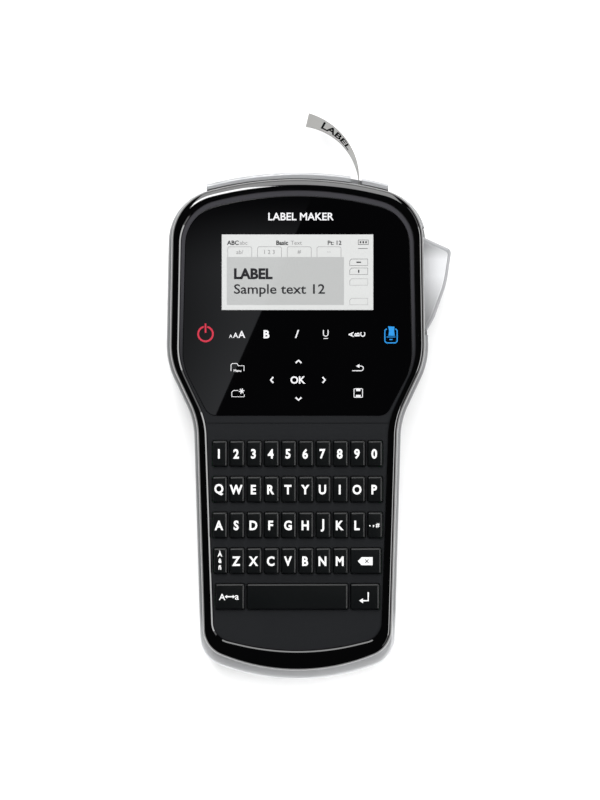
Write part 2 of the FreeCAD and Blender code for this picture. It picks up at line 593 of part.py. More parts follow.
def case_screws():
    """Six screws, one solid each, sunk in the back."""
    screws = []
    for x, y in screw_places():
        head_z = SCREW_SINK - PIN_CLEARANCE - SCREW_HEAD_THICK
        screw = rod(x, y, head_z, head_z + SCREW_HEAD_THICK, SCREW_HEAD_RADIUS)
        tip_z = front_boss_top() - WALL - SCREW_TIP_GAP
        screw = screw.fuse(rod(x, y, head_z, tip_z, SCREW_RADIUS))
        half = (SCREW_SLOT_HALF_LENGTH, SCREW_SLOT_HALF_WIDTH)
        for turn in (0, 1):
            screw = screw.cut(block(x - half[turn], x + half[turn], y - half[1 - turn], y + half[1 - turn],
                                    head_z - CUT_PAST, head_z + SCREW_HEAD_THICK / 2))
        screws.append(clean(screw))
    return Part.makeCompound(screws)


def battery_pack():
    """Rechargeable pack with rounded long edges."""
    pack = block(-BATTERY_BAY_HALF_WIDTH + BATTERY_CLEARANCE, BATTERY_BAY_HALF_WIDTH - BATTERY_CLEARANCE,
                 BATTERY_BAY_LOW_Y + BATTERY_CLEARANCE, BATTERY_BAY_HIGH_Y - BATTERY_CLEARANCE,
                 LID_THICK + PART_GAP * 2, BATTERY_BAY_ROOF_Z - BATTERY_CLEARANCE)
    long_edges = [e for e in pack.Edges if e.BoundBox.YLength > BATTERY_BAY_HALF_WIDTH]
    return pack.makeFillet(BATTERY_ROUND, long_edges)


def tape_cassette():
    """Tape cassette, stepped where the print head and the roller reach the tape, with two spool hubs."""
    corners = [(-CASSETTE_HALF_WIDTH, CASSETTE_LOW_Y, CASSETTE_CORNER),
               (CASSETTE_HALF_WIDTH, CASSETTE_LOW_Y, CASSETTE_CORNER),
               (CASSETTE_HALF_WIDTH, CASSETTE_STEP_Y, CASSETTE_CORNER),
               (CASSETTE_STEP_X, CASSETTE_STEP_Y, CASSETTE_CORNER / 2),
               (CASSETTE_STEP_X, CASSETTE_HIGH_Y, CASSETTE_CORNER),
               (-CASSETTE_HALF_WIDTH, CASSETTE_HIGH_Y, CASSETTE_CORNER)]
    high = CASSETTE_LOW_Z + CASSETTE_THICK
    case = prism(outline(corners, closed_half=False), CASSETTE_LOW_Z, high)
    hubs_x = (-CASSETTE_HALF_WIDTH / 2, CASSETTE_HALF_WIDTH / 3)
    middle_y = (CASSETTE_LOW_Y + CASSETTE_STEP_Y) / 2
    for x in hubs_x:
        case = case.cut(rod(x, middle_y, CASSETTE_LOW_Z - CUT_PAST, high + CUT_PAST, SPOOL_RADIUS))
        hub = rod(x, middle_y, CASSETTE_LOW_Z + BAY_WALL, high - BAY_WALL, SPOOL_RADIUS)
        case = case.fuse(hub.cut(rod(x, middle_y, CASSETTE_LOW_Z, high, SPOOL_RADIUS / 2)))
    return clean(case)


def tape_section(along):
    """Cross-section of the tape at a share of its curl: 0 where it leaves the casing, 1 at its end."""
    angle = math.radians(TAPE_CURL_DEG) * along
    tilt = math.radians(TAPE_TILT_DEG) * along
    outward = V(math.cos(angle), math.sin(angle), 0)
    centre = V(TAPE_X - TAPE_CURL_RADIUS, TAPE_STRAIGHT_END_Y, TAPE_Z) + outward * TAPE_CURL_RADIUS
    across = UP * math.cos(tilt) - outward * math.sin(tilt)
    normal = outward * math.cos(tilt) + UP * math.sin(tilt)
    signs = ((-1, -1), (1, -1), (1, 1), (-1, 1), (-1, -1))
    return Part.makePolygon([centre + across * (a * TAPE_WIDTH / 2) + normal * (b * TAPE_THICK / 2)
                             for a, b in signs])


def label_tape():
    """Printed tape: straight out of the cassette, then curling over to the left and tilting up."""
    curl = Part.makeLoft([tape_section(i / (TAPE_SECTIONS - 1)) for i in range(TAPE_SECTIONS)], True, False)
    straight = block(TAPE_X - TAPE_THICK / 2, TAPE_X + TAPE_THICK / 2, CASSETTE_STEP_Y + PART_GAP,
                     TAPE_STRAIGHT_END_Y, TAPE_LOW_Z, TAPE_LOW_Z + TAPE_WIDTH)
    return clean(straight.fuse(curl))


def gear(teeth, x, y, first_tooth_deg):
    """Spur gear with slim straight-sided teeth; one tooth points along first_tooth_deg."""
    pitch_radius = GEAR_MODULE * teeth / 2
    step = 2 * math.pi / teeth
    root = pitch_radius - GEAR_DEDENDUM
    tip = pitch_radius + GEAR_ADDENDUM
    points = []
    for tooth in range(teeth):
        middle = math.radians(first_tooth_deg) + tooth * step
        for radius, share in ((root, -TOOTH_ROOT_SHARE), (tip, -TOOTH_TIP_SHARE), (tip, TOOTH_TIP_SHARE),
                              (root, TOOTH_ROOT_SHARE)):
            angle = middle + share * step
            points.append(V(x + radius * math.cos(angle), y + radius * math.sin(angle), 0))
    low = gear_low_z()
    return prism(Part.makePolygon(points + points[:1]), low, low + GEAR_THICK)


def feed_roller():
    """Rubber feed roller on its shaft, with the gear that drives it."""
    x = roller_x()
    low = gear_low_z()
    roller = rod(x, ROLLER_Y, ROLLER_LOW_Z, BAY_ROOF_Z - PART_GAP, ROLLER_RADIUS)
    roller = roller.fuse(rod(x, ROLLER_Y, SHAFT_LOW_Z, low + GEAR_THICK + PART_GAP, SHAFT_RADIUS))
    return clean(roller.fuse(gear(ROLLER_TEETH, x, ROLLER_Y, PINION_ANGLE_DEG)))


def motor_low_z():
    """Lower face of the motor, clear of the gears and the roller's shaft."""
    return gear_low_z() + GEAR_THICK + PART_GAP * 2


def motor_pinion():
    """Pinion and motor shaft, which turn together."""
    x, y = pinion_place()
    half_tooth = 180 / PINION_TEETH
    pinion = gear(PINION_TEETH, x, y, PINION_ANGLE_DEG + 180 + half_tooth)
    shaft = rod(x, y, gear_low_z(), motor_low_z() + MOTOR_SHAFT_DEPTH, MOTOR_SHAFT_RADIUS)
    return clean(pinion.fuse(shaft))


def print_mechanism():
    """Fixed half of the print mechanism: the thermal head's plate and the motor, one solid each."""
    tape_face = TAPE_X - TAPE_THICK / 2 - PART_GAP
    head = block(tape_face - HEAD_THICK, tape_face, ROLLER_Y - HEAD_HALF_HEIGHT, ROLLER_Y + HEAD_HALF_HEIGHT,
                 HEAD_LOW_Z, BAY_ROOF_Z)
    head = head.makeFillet(HEAD_THICK / 3, [e for e in head.Edges if e.BoundBox.ZLength > HEAD_THICK])
    x, y = pinion_place()
    low = motor_low_z()
    motor = rod(x, y, low, low + MOTOR_HEIGHT, MOTOR_RADIUS)
    motor = motor.makeFillet(MOTOR_ROUND, level_edges(motor, low + MOTOR_HEIGHT))
    motor = motor.cut(rod(x, y, low - CUT_PAST, low + MOTOR_SHAFT_DEPTH + PART_GAP,
                          MOTOR_SHAFT_RADIUS + PIN_CLEARANCE))
    return Part.makeCompound([head, motor])


def cutter_lever():
    """Silver cutter lever: the wing outside, the pivot boss, and the arm that pushes the blade."""
    wing = prism(outline(LEVER_WING, closed_half=False), LEVER_LOW_Z, LEVER_HIGH_Z)
    wing = wing.makeFillet(LEVER_ROUND, level_edges(wing, LEVER_HIGH_Z) + level_edges(wing, LEVER_LOW_Z))
    arm = prism(outline(LEVER_ARM, closed_half=False), LEVER_ARM_LOW_Z, LEVER_ARM_HIGH_Z)
    bore = rod(*LEVER_PIVOT, LEVER_LOW_Z - CUT_PAST, LEVER_HIGH_Z + CUT_PAST,
               LEVER_POST_RADIUS + PIN_CLEARANCE)
    return clean(wing.fuse(arm).cut(bore))


def cutter_blade():
    """Blade that runs across the tape, with the tail that the lever's arm pushes."""
    tail_x = LEVER_ARM[-1][0] - PART_GAP
    high = BAY_ROOF_Z - PART_GAP
    middle = (BLADE_LOW_Z + high) / 2
    corner = BLADE_TAIL_CORNER
    points = [V(BLADE_TIP_X, 0, high), V(BLADE_TIP_X + BLADE_BEVEL, 0, BLADE_LOW_Z),
              V(tail_x - corner, 0, BLADE_LOW_Z), V(tail_x, 0, middle - corner),
              V(tail_x, 0, middle + corner), V(tail_x - corner, 0, high)]
    blade = Part.Face(Part.makePolygon(points + points[:1])).extrude(V(0, BLADE_THICK, 0))
    blade.translate(V(0, BLADE_Y - BLADE_THICK / 2, 0))
    return blade


def build_all():
    """Every node's name and shape."""
    nodes = {
        "front_shell": front_shell(),
        "keyboard_deck": keyboard_deck(),
        "front_panel": front_panel(),
        "display_module": display_module(),
        "key_mat": key_mat(),
        "main_board": main_board(),
        "rear_shell": rear_shell(),
        "case_screws": case_screws(),
        "cassette_door": cassette_door(),
        "battery_cover": battery_cover(),
        "battery_pack": battery_pack(),
        "tape_cassette": tape_cassette(),
        "label_tape": label_tape(),
        "feed_roller": feed_roller(),
        "motor_pinion": motor_pinion(),
        "print_mechanism": print_mechanism(),
        "cutter_lever": cutter_lever(),
        "cutter_blade": cutter_blade(),
    }
    for name, x, y, width in key_places():
        nodes["key_" + name] = key_cap(x, y, width)
    return nodes


def main():
    """Build every node, report what is wrong with any, and write one STEP file for each."""
    os.makedirs("parts", exist_ok=True)
    for name, shape in build_all().items():
        if not shape.isValid():
            print("not valid:", name)
        if name not in ("case_screws", "print_mechanism") and len(shape.Solids) != 1:
            print("solids in", name, len(shape.Solids))
        shape.exportStep("parts/" + name + ".step")


main()
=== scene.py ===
"""Looks of a hand-held label maker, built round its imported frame, in metres.

The machine lies on its back: +Z points out of its face, +Y towards the tape exit and +X towards
the cutter lever. Casing, lids and inner pieces keep the shapes of the frame and get their finishes
here. The bezel, keycaps, legends, display, printed symbols, tape and lever are modelled here.
"""

import logging
import math
from abc import ABC, abstractmethod
from collections.abc import Callable, Iterable, Iterator, Sequence
from contextlib import contextmanager
from dataclasses import dataclass, field
from enum import Enum
from typing import ClassVar

import bmesh
import bpy
from mathutils import Matrix, Vector


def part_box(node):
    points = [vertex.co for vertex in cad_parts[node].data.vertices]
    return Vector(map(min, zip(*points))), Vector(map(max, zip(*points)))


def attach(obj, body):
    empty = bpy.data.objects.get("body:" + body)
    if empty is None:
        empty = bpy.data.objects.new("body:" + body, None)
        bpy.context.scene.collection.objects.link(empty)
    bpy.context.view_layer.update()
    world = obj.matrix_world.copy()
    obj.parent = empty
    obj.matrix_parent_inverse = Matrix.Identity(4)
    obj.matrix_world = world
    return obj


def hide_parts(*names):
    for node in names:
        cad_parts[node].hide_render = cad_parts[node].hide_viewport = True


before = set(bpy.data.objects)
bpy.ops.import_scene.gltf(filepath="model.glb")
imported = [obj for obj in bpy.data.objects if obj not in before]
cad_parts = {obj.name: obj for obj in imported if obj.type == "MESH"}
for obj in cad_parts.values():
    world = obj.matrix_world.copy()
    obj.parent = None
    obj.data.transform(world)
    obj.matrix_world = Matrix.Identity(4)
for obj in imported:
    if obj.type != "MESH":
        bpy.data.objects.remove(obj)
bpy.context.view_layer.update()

log = logging.getLogger("label_maker")

MM = 0.001
CAP_SHARE = 0.684            # height of a capital as a share of the type's size
PRINT_THICK = 0.03 * MM      # how far printed marks stand off what they are printed on
WELD = 1e-4 * MM             # points nearer than this are one
LEVEL_SHARE = 0.9            # share of Z in a direction that counts as upright
Colour = tuple[float, float, float]
Point = tuple[float, float]
Corner = tuple[float, float, float]      # x, y and radius of an outline's corner
SocketKey = int | str


# ---------------------------------------------------------------- shader maths


class Wire:
    """An output of a material's nodes; operators on it add Math nodes."""

    def __init__(self, recipe: "Recipe", socket: bpy.types.NodeSocket) -> None:
        """Keep the recipe that the socket belongs to, and the socket."""
        self.recipe = recipe
        self.socket = socket

    def _math(self, operation: str, first: "Wire | float", second: "Wire | float") -> "Wire":
        """Math node on two values."""
        return self.recipe.node("ShaderNodeMath", {"operation": operation}, {0: first, 1: second})

    def __add__(self, other: "Wire | float") -> "Wire":
        """Sum."""
        return self._math("ADD", self, other)

    __radd__ = __add__

    def __sub__(self, other: "Wire | float") -> "Wire":
        """Difference."""
        return self._math("SUBTRACT", self, other)

    def __rsub__(self, other: "Wire | float") -> "Wire":
        """Difference, the other way round."""
        return self._math("SUBTRACT", other, self)

    def __mul__(self, other: "Wire | float") -> "Wire":
        """Product."""
        return self._math("MULTIPLY", self, other)

    __rmul__ = __mul__

    def __truediv__(self, other: "Wire | float") -> "Wire":
        """Quotient."""
        return self._math("DIVIDE", self, other)

    def below(self, limit: float) -> "Wire":
        """1 where the value is under a limit, else 0."""
        return self._math("LESS_THAN", self, limit)

    def ramp(self, low: float, high: float) -> "Wire":
        """Smooth step from 0 at low to 1 at high."""
        sockets = {"Value": self, "From Min": low, "From Max": high}
        return self.recipe.node("ShaderNodeMapRange", {"interpolation_type": "SMOOTHSTEP"}, sockets)


Value = Wire | float | Sequence[float]


class Recipe:
    """One material while its nodes are put together."""

    def __init__(self, name: str) -> None:
        """Start a material with a Principled shader.

        Args:
            name: name of the material.
        """
        self.material = bpy.data.materials.new(name)
        self.material.use_nodes = True
        self.tree = self.material.node_tree
        self.shader = self.tree.nodes["Principled BSDF"]

    def node(self, kind: str, settings: dict | None = None, sockets: "dict[SocketKey, Value] | None" = None,
             output: int = 0) -> Wire:
        """Add a node.

        Args:
            kind: Blender's name of the node type.
            settings: attributes set first; "stops" gives a colour ramp's positions and colours.
            sockets: value or wire for each input, by its number or name.
            output: number of the output that is wanted.

        Returns:
            The wire that leaves that output.
        """
        made = self.tree.nodes.new(kind)
        for key, value in (settings or {}).items():
            if key == "stops":
                self._set_stops(made.color_ramp, value)
            else:
                setattr(made, key, value)
        for key, value in (sockets or {}).items():
            self._feed(made.inputs[key], value)
        return Wire(self, made.outputs[output])

    @staticmethod
    def _set_stops(ramp: bpy.types.ColorRamp, stops: Sequence[tuple[float, Colour]]) -> None:
        """Give a colour ramp its stops.

        Args:
            ramp: the ramp, with the stops that it starts with.
            stops: place and colour of each stop.
        """
        while len(ramp.elements) < len(stops):
            ramp.elements.new(1.0)
        for element, (place, colour) in zip(ramp.elements, stops):
            element.position = place
            element.color = (*colour, 1.0)

    def _feed(self, socket: bpy.types.NodeSocket, value: Value) -> None:
        """Link a wire to a socket, or set the socket's own value.

        Args:
            socket: the input.
            value: what it takes; a colour may leave out its alpha.
        """
        if isinstance(value, Wire):
            self.tree.links.new(value.socket, socket)
        elif socket.type == "RGBA" and len(value) == 3:
            socket.default_value = (*value, 1.0)
        else:
            socket.default_value = value

    def place(self, axis: int) -> Wire:
        """Place along X (0), Y (1) or Z (2), in metres."""
        here = self.node("ShaderNodeTexCoord", output=3)
        return self.node("ShaderNodeSeparateXYZ", None, {0: here}, axis)

    def stretched(self, scale: Sequence[float]) -> Wire:
        """Place on the object with each axis scaled."""
        here = self.node("ShaderNodeTexCoord", output=3)
        return self.node("ShaderNodeMapping", None, {"Vector": here, "Scale": scale})

    def noise(self, scale: float, detail: float = 3.0, stretch: Sequence[float] = (1, 1, 1)) -> Wire:
        """Cloudy value about 0.5; scale is in waves per metre."""
        sockets = {"Vector": self.stretched(stretch), "Scale": scale, "Detail": detail}
        return self.node("ShaderNodeTexNoise", None, sockets)

    def cells(self, scale: float, output: int = 0) -> Wire:
        """Voronoi cells; scale is in cells per metre."""
        sockets = {"Vector": self.stretched((1, 1, 1)), "Scale": scale}
        return self.node("ShaderNodeTexVoronoi", None, sockets, output)

    def mix(self, first: "Wire | Colour", second: "Wire | Colour", factor: "Wire | float") -> Wire:
        """Colour between two others."""
        return self.node("ShaderNodeMix", {"data_type": "RGBA"}, {0: factor, 6: first, 7: second}, 2)

    def bump(self, height: Wire, depth: float) -> Wire:
        """Normal of a surface whose relief is depth metres for a height of 1."""
        return self.node("ShaderNodeBump", None, {"Height": height, "Distance": depth, "Strength": 1.0})

    def surface(self, **sockets: Value) -> None:
        """Set the shader's inputs; an underscore in a name stands for a space."""
        for key, value in sockets.items():
            self._feed(self.shader.inputs[key.replace("_", " ")], value)


# ---------------------------------------------------------------- finishes


def shade(colour: Colour, share: float) -> Colour:
    """Colour made lighter or darker by a share."""
    return tuple(c * share for c in colour)


class Finish(ABC):
    """A surface that a maker would specify."""

    @abstractmethod
    def paint(self, recipe: Recipe) -> None:
        """Add this finish's nodes to a recipe."""

    def make(self, name: str) -> bpy.types.Material:
        """Make a material with this finish.

        Args:
            name: name of the material.

        Returns:
            The material.
        """
        recipe = Recipe(name)
        self.paint(recipe)
        return recipe.material


@dataclass(frozen=True)
class GlossPlastic(Finish):
    """Polished plastic: dark body, clear coat, faint ripple and uneven polish."""

    colour: Colour
    roughness: float = 0.05
    ripple: float = 0.4e-6

    def paint(self, recipe: Recipe) -> None:
        """Body colour under a clear coat.

        Args:
            recipe: the material being made.
        """
        cloud = recipe.noise(30, 2)
        base = recipe.mix(self.colour, shade(self.colour, 1.5), cloud)
        polish = recipe.noise(220, 4) * 0.03 + self.roughness
        relief = recipe.bump(recipe.noise(150, 1), self.ripple)
        recipe.surface(Base_Color=base, Roughness=polish, Normal=relief, Coat_Weight=1.0,
                       Coat_Roughness=0.02, IOR=1.5)


@dataclass(frozen=True)
class MirrorFilm(Finish):
    """Printed window film, polished flat, with the faintest unevenness."""

    colour: Colour
    roughness: float = 0.006

    def paint(self, recipe: Recipe) -> None:
        """Black ink behind a mirror-smooth face.

        Args:
            recipe: the material being made.
        """
        cloud = recipe.noise(18, 2)
        base = recipe.mix(self.colour, shade(self.colour, 1.6), cloud)
        relief = recipe.bump(recipe.noise(60, 1), 0.02e-6)
        recipe.surface(Base_Color=base, Roughness=cloud * 0.004 + self.roughness, Normal=relief, IOR=1.5)


@dataclass(frozen=True)
class Moulded(Finish):
    """Moulded plastic with a spark-eroded grain and slight shifts of tone."""

    colour: Colour
    roughness: float = 0.45
    grain: float = 2600.0
    depth: float = 6e-6
    tone: float = 0.25
    sheen: float = 0.5

    def paint(self, recipe: Recipe) -> None:
        """Grain in the relief, and broad shifts in colour and polish.

        Args:
            recipe: the material being made.
        """
        broad = recipe.noise(45, 3)
        light = shade(self.colour, 1 + self.tone)
        dark = shade(self.colour, 1 - self.tone)
        grain = recipe.noise(self.grain, 2)
        base = recipe.mix(recipe.mix(dark, light, broad), light, grain * self.tone)
        rough = broad * 0.08 + (self.roughness - 0.04)
        recipe.surface(Base_Color=base, Roughness=rough, Normal=recipe.bump(grain, self.depth),
                       Specular_IOR_Level=self.sheen)


@dataclass(frozen=True)
class KeypadPlastic(Finish):
    """Satin plastic of the keyboard's deck, with a painted sheen that makes it a little lighter towards its
    upper end.
    """

    low: Colour
    high: Colour
    low_y: float
    high_y: float
    roughness: float = 0.45
    sheen: float = 0.2

    def paint(self, recipe: Recipe) -> None:
        """Painted sheen: a base colour that grows lighter along the body, over a fine grain.

        Args:
            recipe: the material being made.
        """
        along = recipe.place(1).ramp(self.low_y, self.high_y)
        grain = recipe.noise(3200, 2)
        # painted sheen: the base colour lightens towards the deck's upper end
        tone = recipe.mix(self.low, self.high, along)
        base = recipe.mix(tone, shade(self.high, 1.4), grain * 0.15)
        rough = recipe.noise(60, 3) * 0.08 + (self.roughness - 0.04)
        recipe.surface(Base_Color=base, Roughness=rough, Normal=recipe.bump(grain, 4e-6),
                       Specular_IOR_Level=self.sheen)


@dataclass(frozen=True)
class SilverPaint(Finish):
    """Satin metallic paint: fine bright flakes in a pale base, with optional painted light and shade along
    the body.
    """

    colour: Colour
    metal: float = 0.55
    roughness: float = 0.34
    run: Point = (0.0, 1.0)              # where the painted light and shade below start and end along the body
    light_and_shade_shares: tuple[Point, ...] = ()       # place along the run, and share of the tone there as painted light and shade

    def paint(self, recipe: Recipe) -> None:
        """Flakes as small cells of their own tone, and painted light and shade that may scale the tone along
        the body.

        Args:
            recipe: the material being made.
        """
        flakes = recipe.cells(14000, output=1)
        grey = recipe.node("ShaderNodeSeparateColor", None, {0: flakes})
        cloud = recipe.noise(25, 3)
        pale = shade(self.colour, 1.08)
        deep = shade(self.colour, 0.93)
        base = recipe.mix(recipe.mix(deep, pale, grey), self.colour, cloud * 0.4 + 0.3)
        # painted light and shade: the base colour is scaled by a share that changes along Y
        if self.light_and_shade_shares:
            along = (recipe.place(1) - self.run[0]) / (self.run[1] - self.run[0])
            stops = [(place, (share, share, share)) for place, share in self.light_and_shade_shares]
            tone = recipe.node("ShaderNodeValToRGB", {"stops": stops}, {0: along})
            base = recipe.mix((0.0, 0.0, 0.0), base, tone)
        rough = grey * 0.06 + cloud * 0.05 + (self.roughness - 0.05)
        relief = recipe.bump(recipe.noise(1500, 2), 1e-6)
        recipe.surface(Base_Color=base, Roughness=rough, Metallic=self.metal, Normal=relief,
                       Specular_IOR_Level=0.35)


@dataclass(frozen=True)
class Print(Finish):
    """Screen-printed ink with a faint mottle."""

    colour: Colour
    roughness: float = 0.45
    sheen: float = 0.3

    def paint(self, recipe: Recipe) -> None:
        """Ink whose density wavers.

        Args:
            recipe: the material being made.
        """
        density = recipe.noise(2500, 2)
        base = recipe.mix(shade(self.colour, 0.9), self.colour, density)
        recipe.surface(Base_Color=base, Roughness=self.roughness, Specular_IOR_Level=self.sheen)


@dataclass(frozen=True)
class DisplayFilm(Finish):
    """Liquid crystal behind a clear window: a faint dot raster under a polished coat."""

    colour: Colour
    dots: float = 2600.0

    def paint(self, recipe: Recipe) -> None:
        """Raster of lines both ways, and a coat that takes reflections.

        Args:
            recipe: the material being made.
        """
        lines, rows = (recipe.node("ShaderNodeMath", {"operation": "SINE"},
                                   {0: recipe.place(axis) * (self.dots * math.tau)}) for axis in (0, 1))
        raster = (lines * rows) * 0.5 + 0.5
        base = recipe.mix(shade(self.colour, 0.97), self.colour, raster)
        recipe.surface(Base_Color=base, Roughness=0.45, Coat_Weight=1.0, Coat_Roughness=0.02)


@dataclass(frozen=True)
class LabelFilm(Finish):
    """Satin label tape: pale film with long faint streaks."""

    colour: Colour

    def paint(self, recipe: Recipe) -> None:
        """Streaks along the tape and a soft gloss.

        Args:
            recipe: the material being made.
        """
        streak = recipe.noise(700, 2, (0.1, 0.1, 1.0))
        fibre = recipe.noise(4000, 2)
        pale = shade(self.colour, 1.05)
        base = recipe.mix(shade(self.colour, 0.93), pale, streak * 0.7 + fibre * 0.3)
        recipe.surface(Base_Color=base, Roughness=0.5, Normal=recipe.bump(fibre, 2e-6),
                       Specular_IOR_Level=0.12)


@dataclass(frozen=True)
class BrushedSteel(Finish):
    """Bright steel with fine scratches along one axis."""

    stretch: tuple[float, float, float] = (0.05, 1.0, 1.0)
    colour: Colour = (0.56, 0.57, 0.58)

    def paint(self, recipe: Recipe) -> None:
        """Scratches in tone, gloss and relief.

        Args:
            recipe: the material being made.
        """
        scratch = recipe.noise(2500, 3, self.stretch)
        base = recipe.mix(shade(self.colour, 0.8), self.colour, scratch)
        recipe.surface(Base_Color=base, Metallic=1.0, Roughness=scratch * 0.2 + 0.2,
                       Normal=recipe.bump(scratch, 2e-6))


@dataclass(frozen=True)
class Rubber(Finish):
    """Soft moulded rubber or silicone with a dusty bloom."""

    colour: Colour

    def paint(self, recipe: Recipe) -> None:
        """Bloom as a pale cloud over a matt body.

        Args:
            recipe: the material being made.
        """
        bloom = recipe.noise(120, 4)
        base = recipe.mix(self.colour, tuple(c * 1.6 + 0.01 for c in self.colour), bloom)
        relief = recipe.bump(recipe.noise(1800, 2), 8e-6)
        recipe.surface(Base_Color=base, Roughness=bloom * 0.15 + 0.65, Normal=relief)


@dataclass(frozen=True)
class CircuitBoard(Finish):
    """Green solder resist over copper runs, with tinned pads."""

    resist: Colour = (0.010, 0.085, 0.035)
    copper: Colour = (0.03, 0.16, 0.06)
    tin: Colour = (0.55, 0.55, 0.52)

    def paint(self, recipe: Recipe) -> None:
        """Runs along a brick raster, pads at scattered cells.

        Args:
            recipe: the material being made.
        """
        sockets = {"Vector": recipe.stretched((1, 1, 1)), "Scale": 120.0, "Mortar Size": 0.04}
        runs = recipe.node("ShaderNodeTexBrick", None, sockets, 1)
        pads = recipe.cells(260).below(0.16)
        base = recipe.mix(recipe.mix(self.resist, self.copper, runs), self.tin, pads)
        recipe.surface(Base_Color=base, Metallic=pads * 0.8, Roughness=0.35 - pads * 0.1,
                       Normal=recipe.bump(runs + pads, 30e-6))


class Palette:
    """Every material of the machine, made once."""

    LEVER_PAINTED_SHADE_RUN: ClassVar[float] = 40 * MM     # stretch of the lever that its painted shade and highlight run over

    def __init__(self) -> None:
        """Make each finish of the machine."""
        panel_foot, panel_top = (corner.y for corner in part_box("front_panel"))
        lever_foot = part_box("cutter_lever")[0].y
        shell_foot, shell_top = (corner.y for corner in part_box("rear_shell"))
        finishes: dict[str, Finish] = {
            "gloss_black": GlossPlastic((0.00015, 0.00015, 0.0002)),
            "panel_black": MirrorFilm((0.0003, 0.0003, 0.0004)),
            # deck: painted sheen, lighter towards the panel's upper part
            "charcoal": KeypadPlastic((0.0048, 0.0054, 0.0060), (0.0245, 0.0240, 0.0275), panel_foot,
                                      panel_top * 0.7),
            "key": Moulded((0.0022, 0.0026, 0.0028), roughness=0.30, grain=3500, depth=2e-6, sheen=0.32),
            "legend": Print((0.62, 0.62, 0.62)),
            "symbol_white": Print((0.52, 0.52, 0.53)),
            "symbol_red": Print((0.36, 0.02, 0.04)),
            "symbol_blue": Print((0.012, 0.18, 0.46)),
            "display_rim": DisplayFilm((0.405, 0.41, 0.406)),
            "display_field": DisplayFilm((0.285, 0.29, 0.287)),
            "display_dark": Print((0.008, 0.008, 0.01)),
            "display_faint": Print((0.17, 0.17, 0.17)),
            # rear shell: painted light at its foot, painted shade along its sides and a little less at its
            # top
            "silver": SilverPaint((0.62, 0.627, 0.64), metal=0.4, run=(shell_foot, shell_top),
                                  light_and_shade_shares=((0.0, 1.0), (0.06, 0.95), (0.14, 0.36), (0.84, 0.34), (0.95, 0.5))),
            "silver_cap": SilverPaint((0.38, 0.385, 0.396)),
            # lever face: painted shade towards both ends and a painted highlight across its middle, along Y
            "lever": SilverPaint((0.60, 0.606, 0.618), metal=0.1,
                                 run=(lever_foot, lever_foot + self.LEVER_PAINTED_SHADE_RUN),
                                 light_and_shade_shares=((0.0, 0.32), (0.3, 0.62), (0.55, 0.92), (0.72, 0.9), (0.84, 0.52),
                                         (0.95, 0.42))),
            # lever body round its raised face: darker base as painted shade on its rounded edge
            "lever_edge_painted_shade": SilverPaint((0.30, 0.304, 0.312), metal=0.3),
            "tape": LabelFilm((0.21, 0.208, 0.201)),
            "tape_ink": Print((0.006, 0.006, 0.006), roughness=0.9, sheen=0.0),
            "steel": BrushedSteel(),
            "roller": Rubber((0.03, 0.03, 0.032)),
            "silicone": Rubber((0.05, 0.05, 0.055)),
            "board": CircuitBoard(),
            "display": Moulded((0.30, 0.31, 0.30), roughness=0.4),
            "pack": Moulded((0.02, 0.028, 0.07), roughness=0.3, depth=2e-6),
            "cassette": Moulded((0.30, 0.30, 0.31), roughness=0.4),
        }
        self.materials = {name: finish.make(name) for name, finish in finishes.items()}

    def __getitem__(self, name: str) -> bpy.types.Material:
        """Material of a name."""
        return self.materials[name]


# ---------------------------------------------------------------- workshop


class Pick(Enum):
    """What a selection in edit mode is made of."""

    EDGES = "EDGE"
    FACES = "FACE"


def deselect() -> None:
    """Leave nothing selected."""
    bpy.ops.object.select_all(action="DESELECT")


def activate(piece: bpy.types.Object) -> None:
    """Select one object alone and make it the active one.

    Args:
        piece: the object.
    """
    deselect()
    piece.select_set(True)
    bpy.context.view_layer.objects.active = piece


def put(name: str, data: bpy.types.ID) -> bpy.types.Object:
    """Place an object in the scene.

    Args:
        name: its name.
        data: its mesh, curve, light or camera.

    Returns:
        The object.
    """
    made = bpy.data.objects.new(name, data)
    bpy.context.collection.objects.link(made)
    return made


@contextmanager
def editing(piece: bpy.types.Object) -> Iterator[None]:
    """Hold a piece in edit mode while a block of steps runs.

    Args:
        piece: the object that is edited.
    """
    activate(piece)
    bpy.ops.object.mode_set(mode="EDIT")
    yield
    bpy.ops.object.mode_set(mode="OBJECT")


def pick(kind: Pick, wanted: Callable[[bmesh.types.BMEdge | bmesh.types.BMFace], bool]) -> None:
    """Select, in edit mode, what passes a test.

    Args:
        kind: whether edges or faces are tested.
        wanted: the test.
    """
    mesh = bpy.context.edit_object.data
    bpy.ops.mesh.select_mode(type=kind.value)
    bpy.ops.mesh.select_all(action="DESELECT")
    shape = bmesh.from_edit_mesh(mesh)
    for part in shape.edges if kind is Pick.EDGES else shape.faces:
        if wanted(part):
            part.select_set(True)
    shape.select_flush_mode()
    bmesh.update_edit_mesh(mesh)


def is_upright(edge: bmesh.types.BMEdge) -> bool:
    """Whether an edge runs along Z."""
    run = edge.verts[1].co - edge.verts[0].co
    return abs(run.z) > LEVEL_SHARE * run.length


def is_top(face: bmesh.types.BMFace) -> bool:
    """Whether a face looks up."""
    return face.normal.z > LEVEL_SHARE


def modify(piece: bpy.types.Object, kind: str, **settings: object) -> None:
    """Add a modifier to a piece and apply it.

    Args:
        piece: the object.
        kind: Blender's name of the modifier type.
        settings: attributes of the modifier.
    """
    activate(piece)
    modifier = piece.modifiers.new(kind, kind)
    for key, value in settings.items():
        setattr(modifier, key, value)
    bpy.ops.object.modifier_apply(modifier=modifier.name)


def smooth(piece: bpy.types.Object, angle: float) -> None:
    """Shade a piece smooth, save over edges sharper than an angle in degrees."""
    activate(piece)
    bpy.ops.object.shade_smooth_by_angle(angle=math.radians(angle))


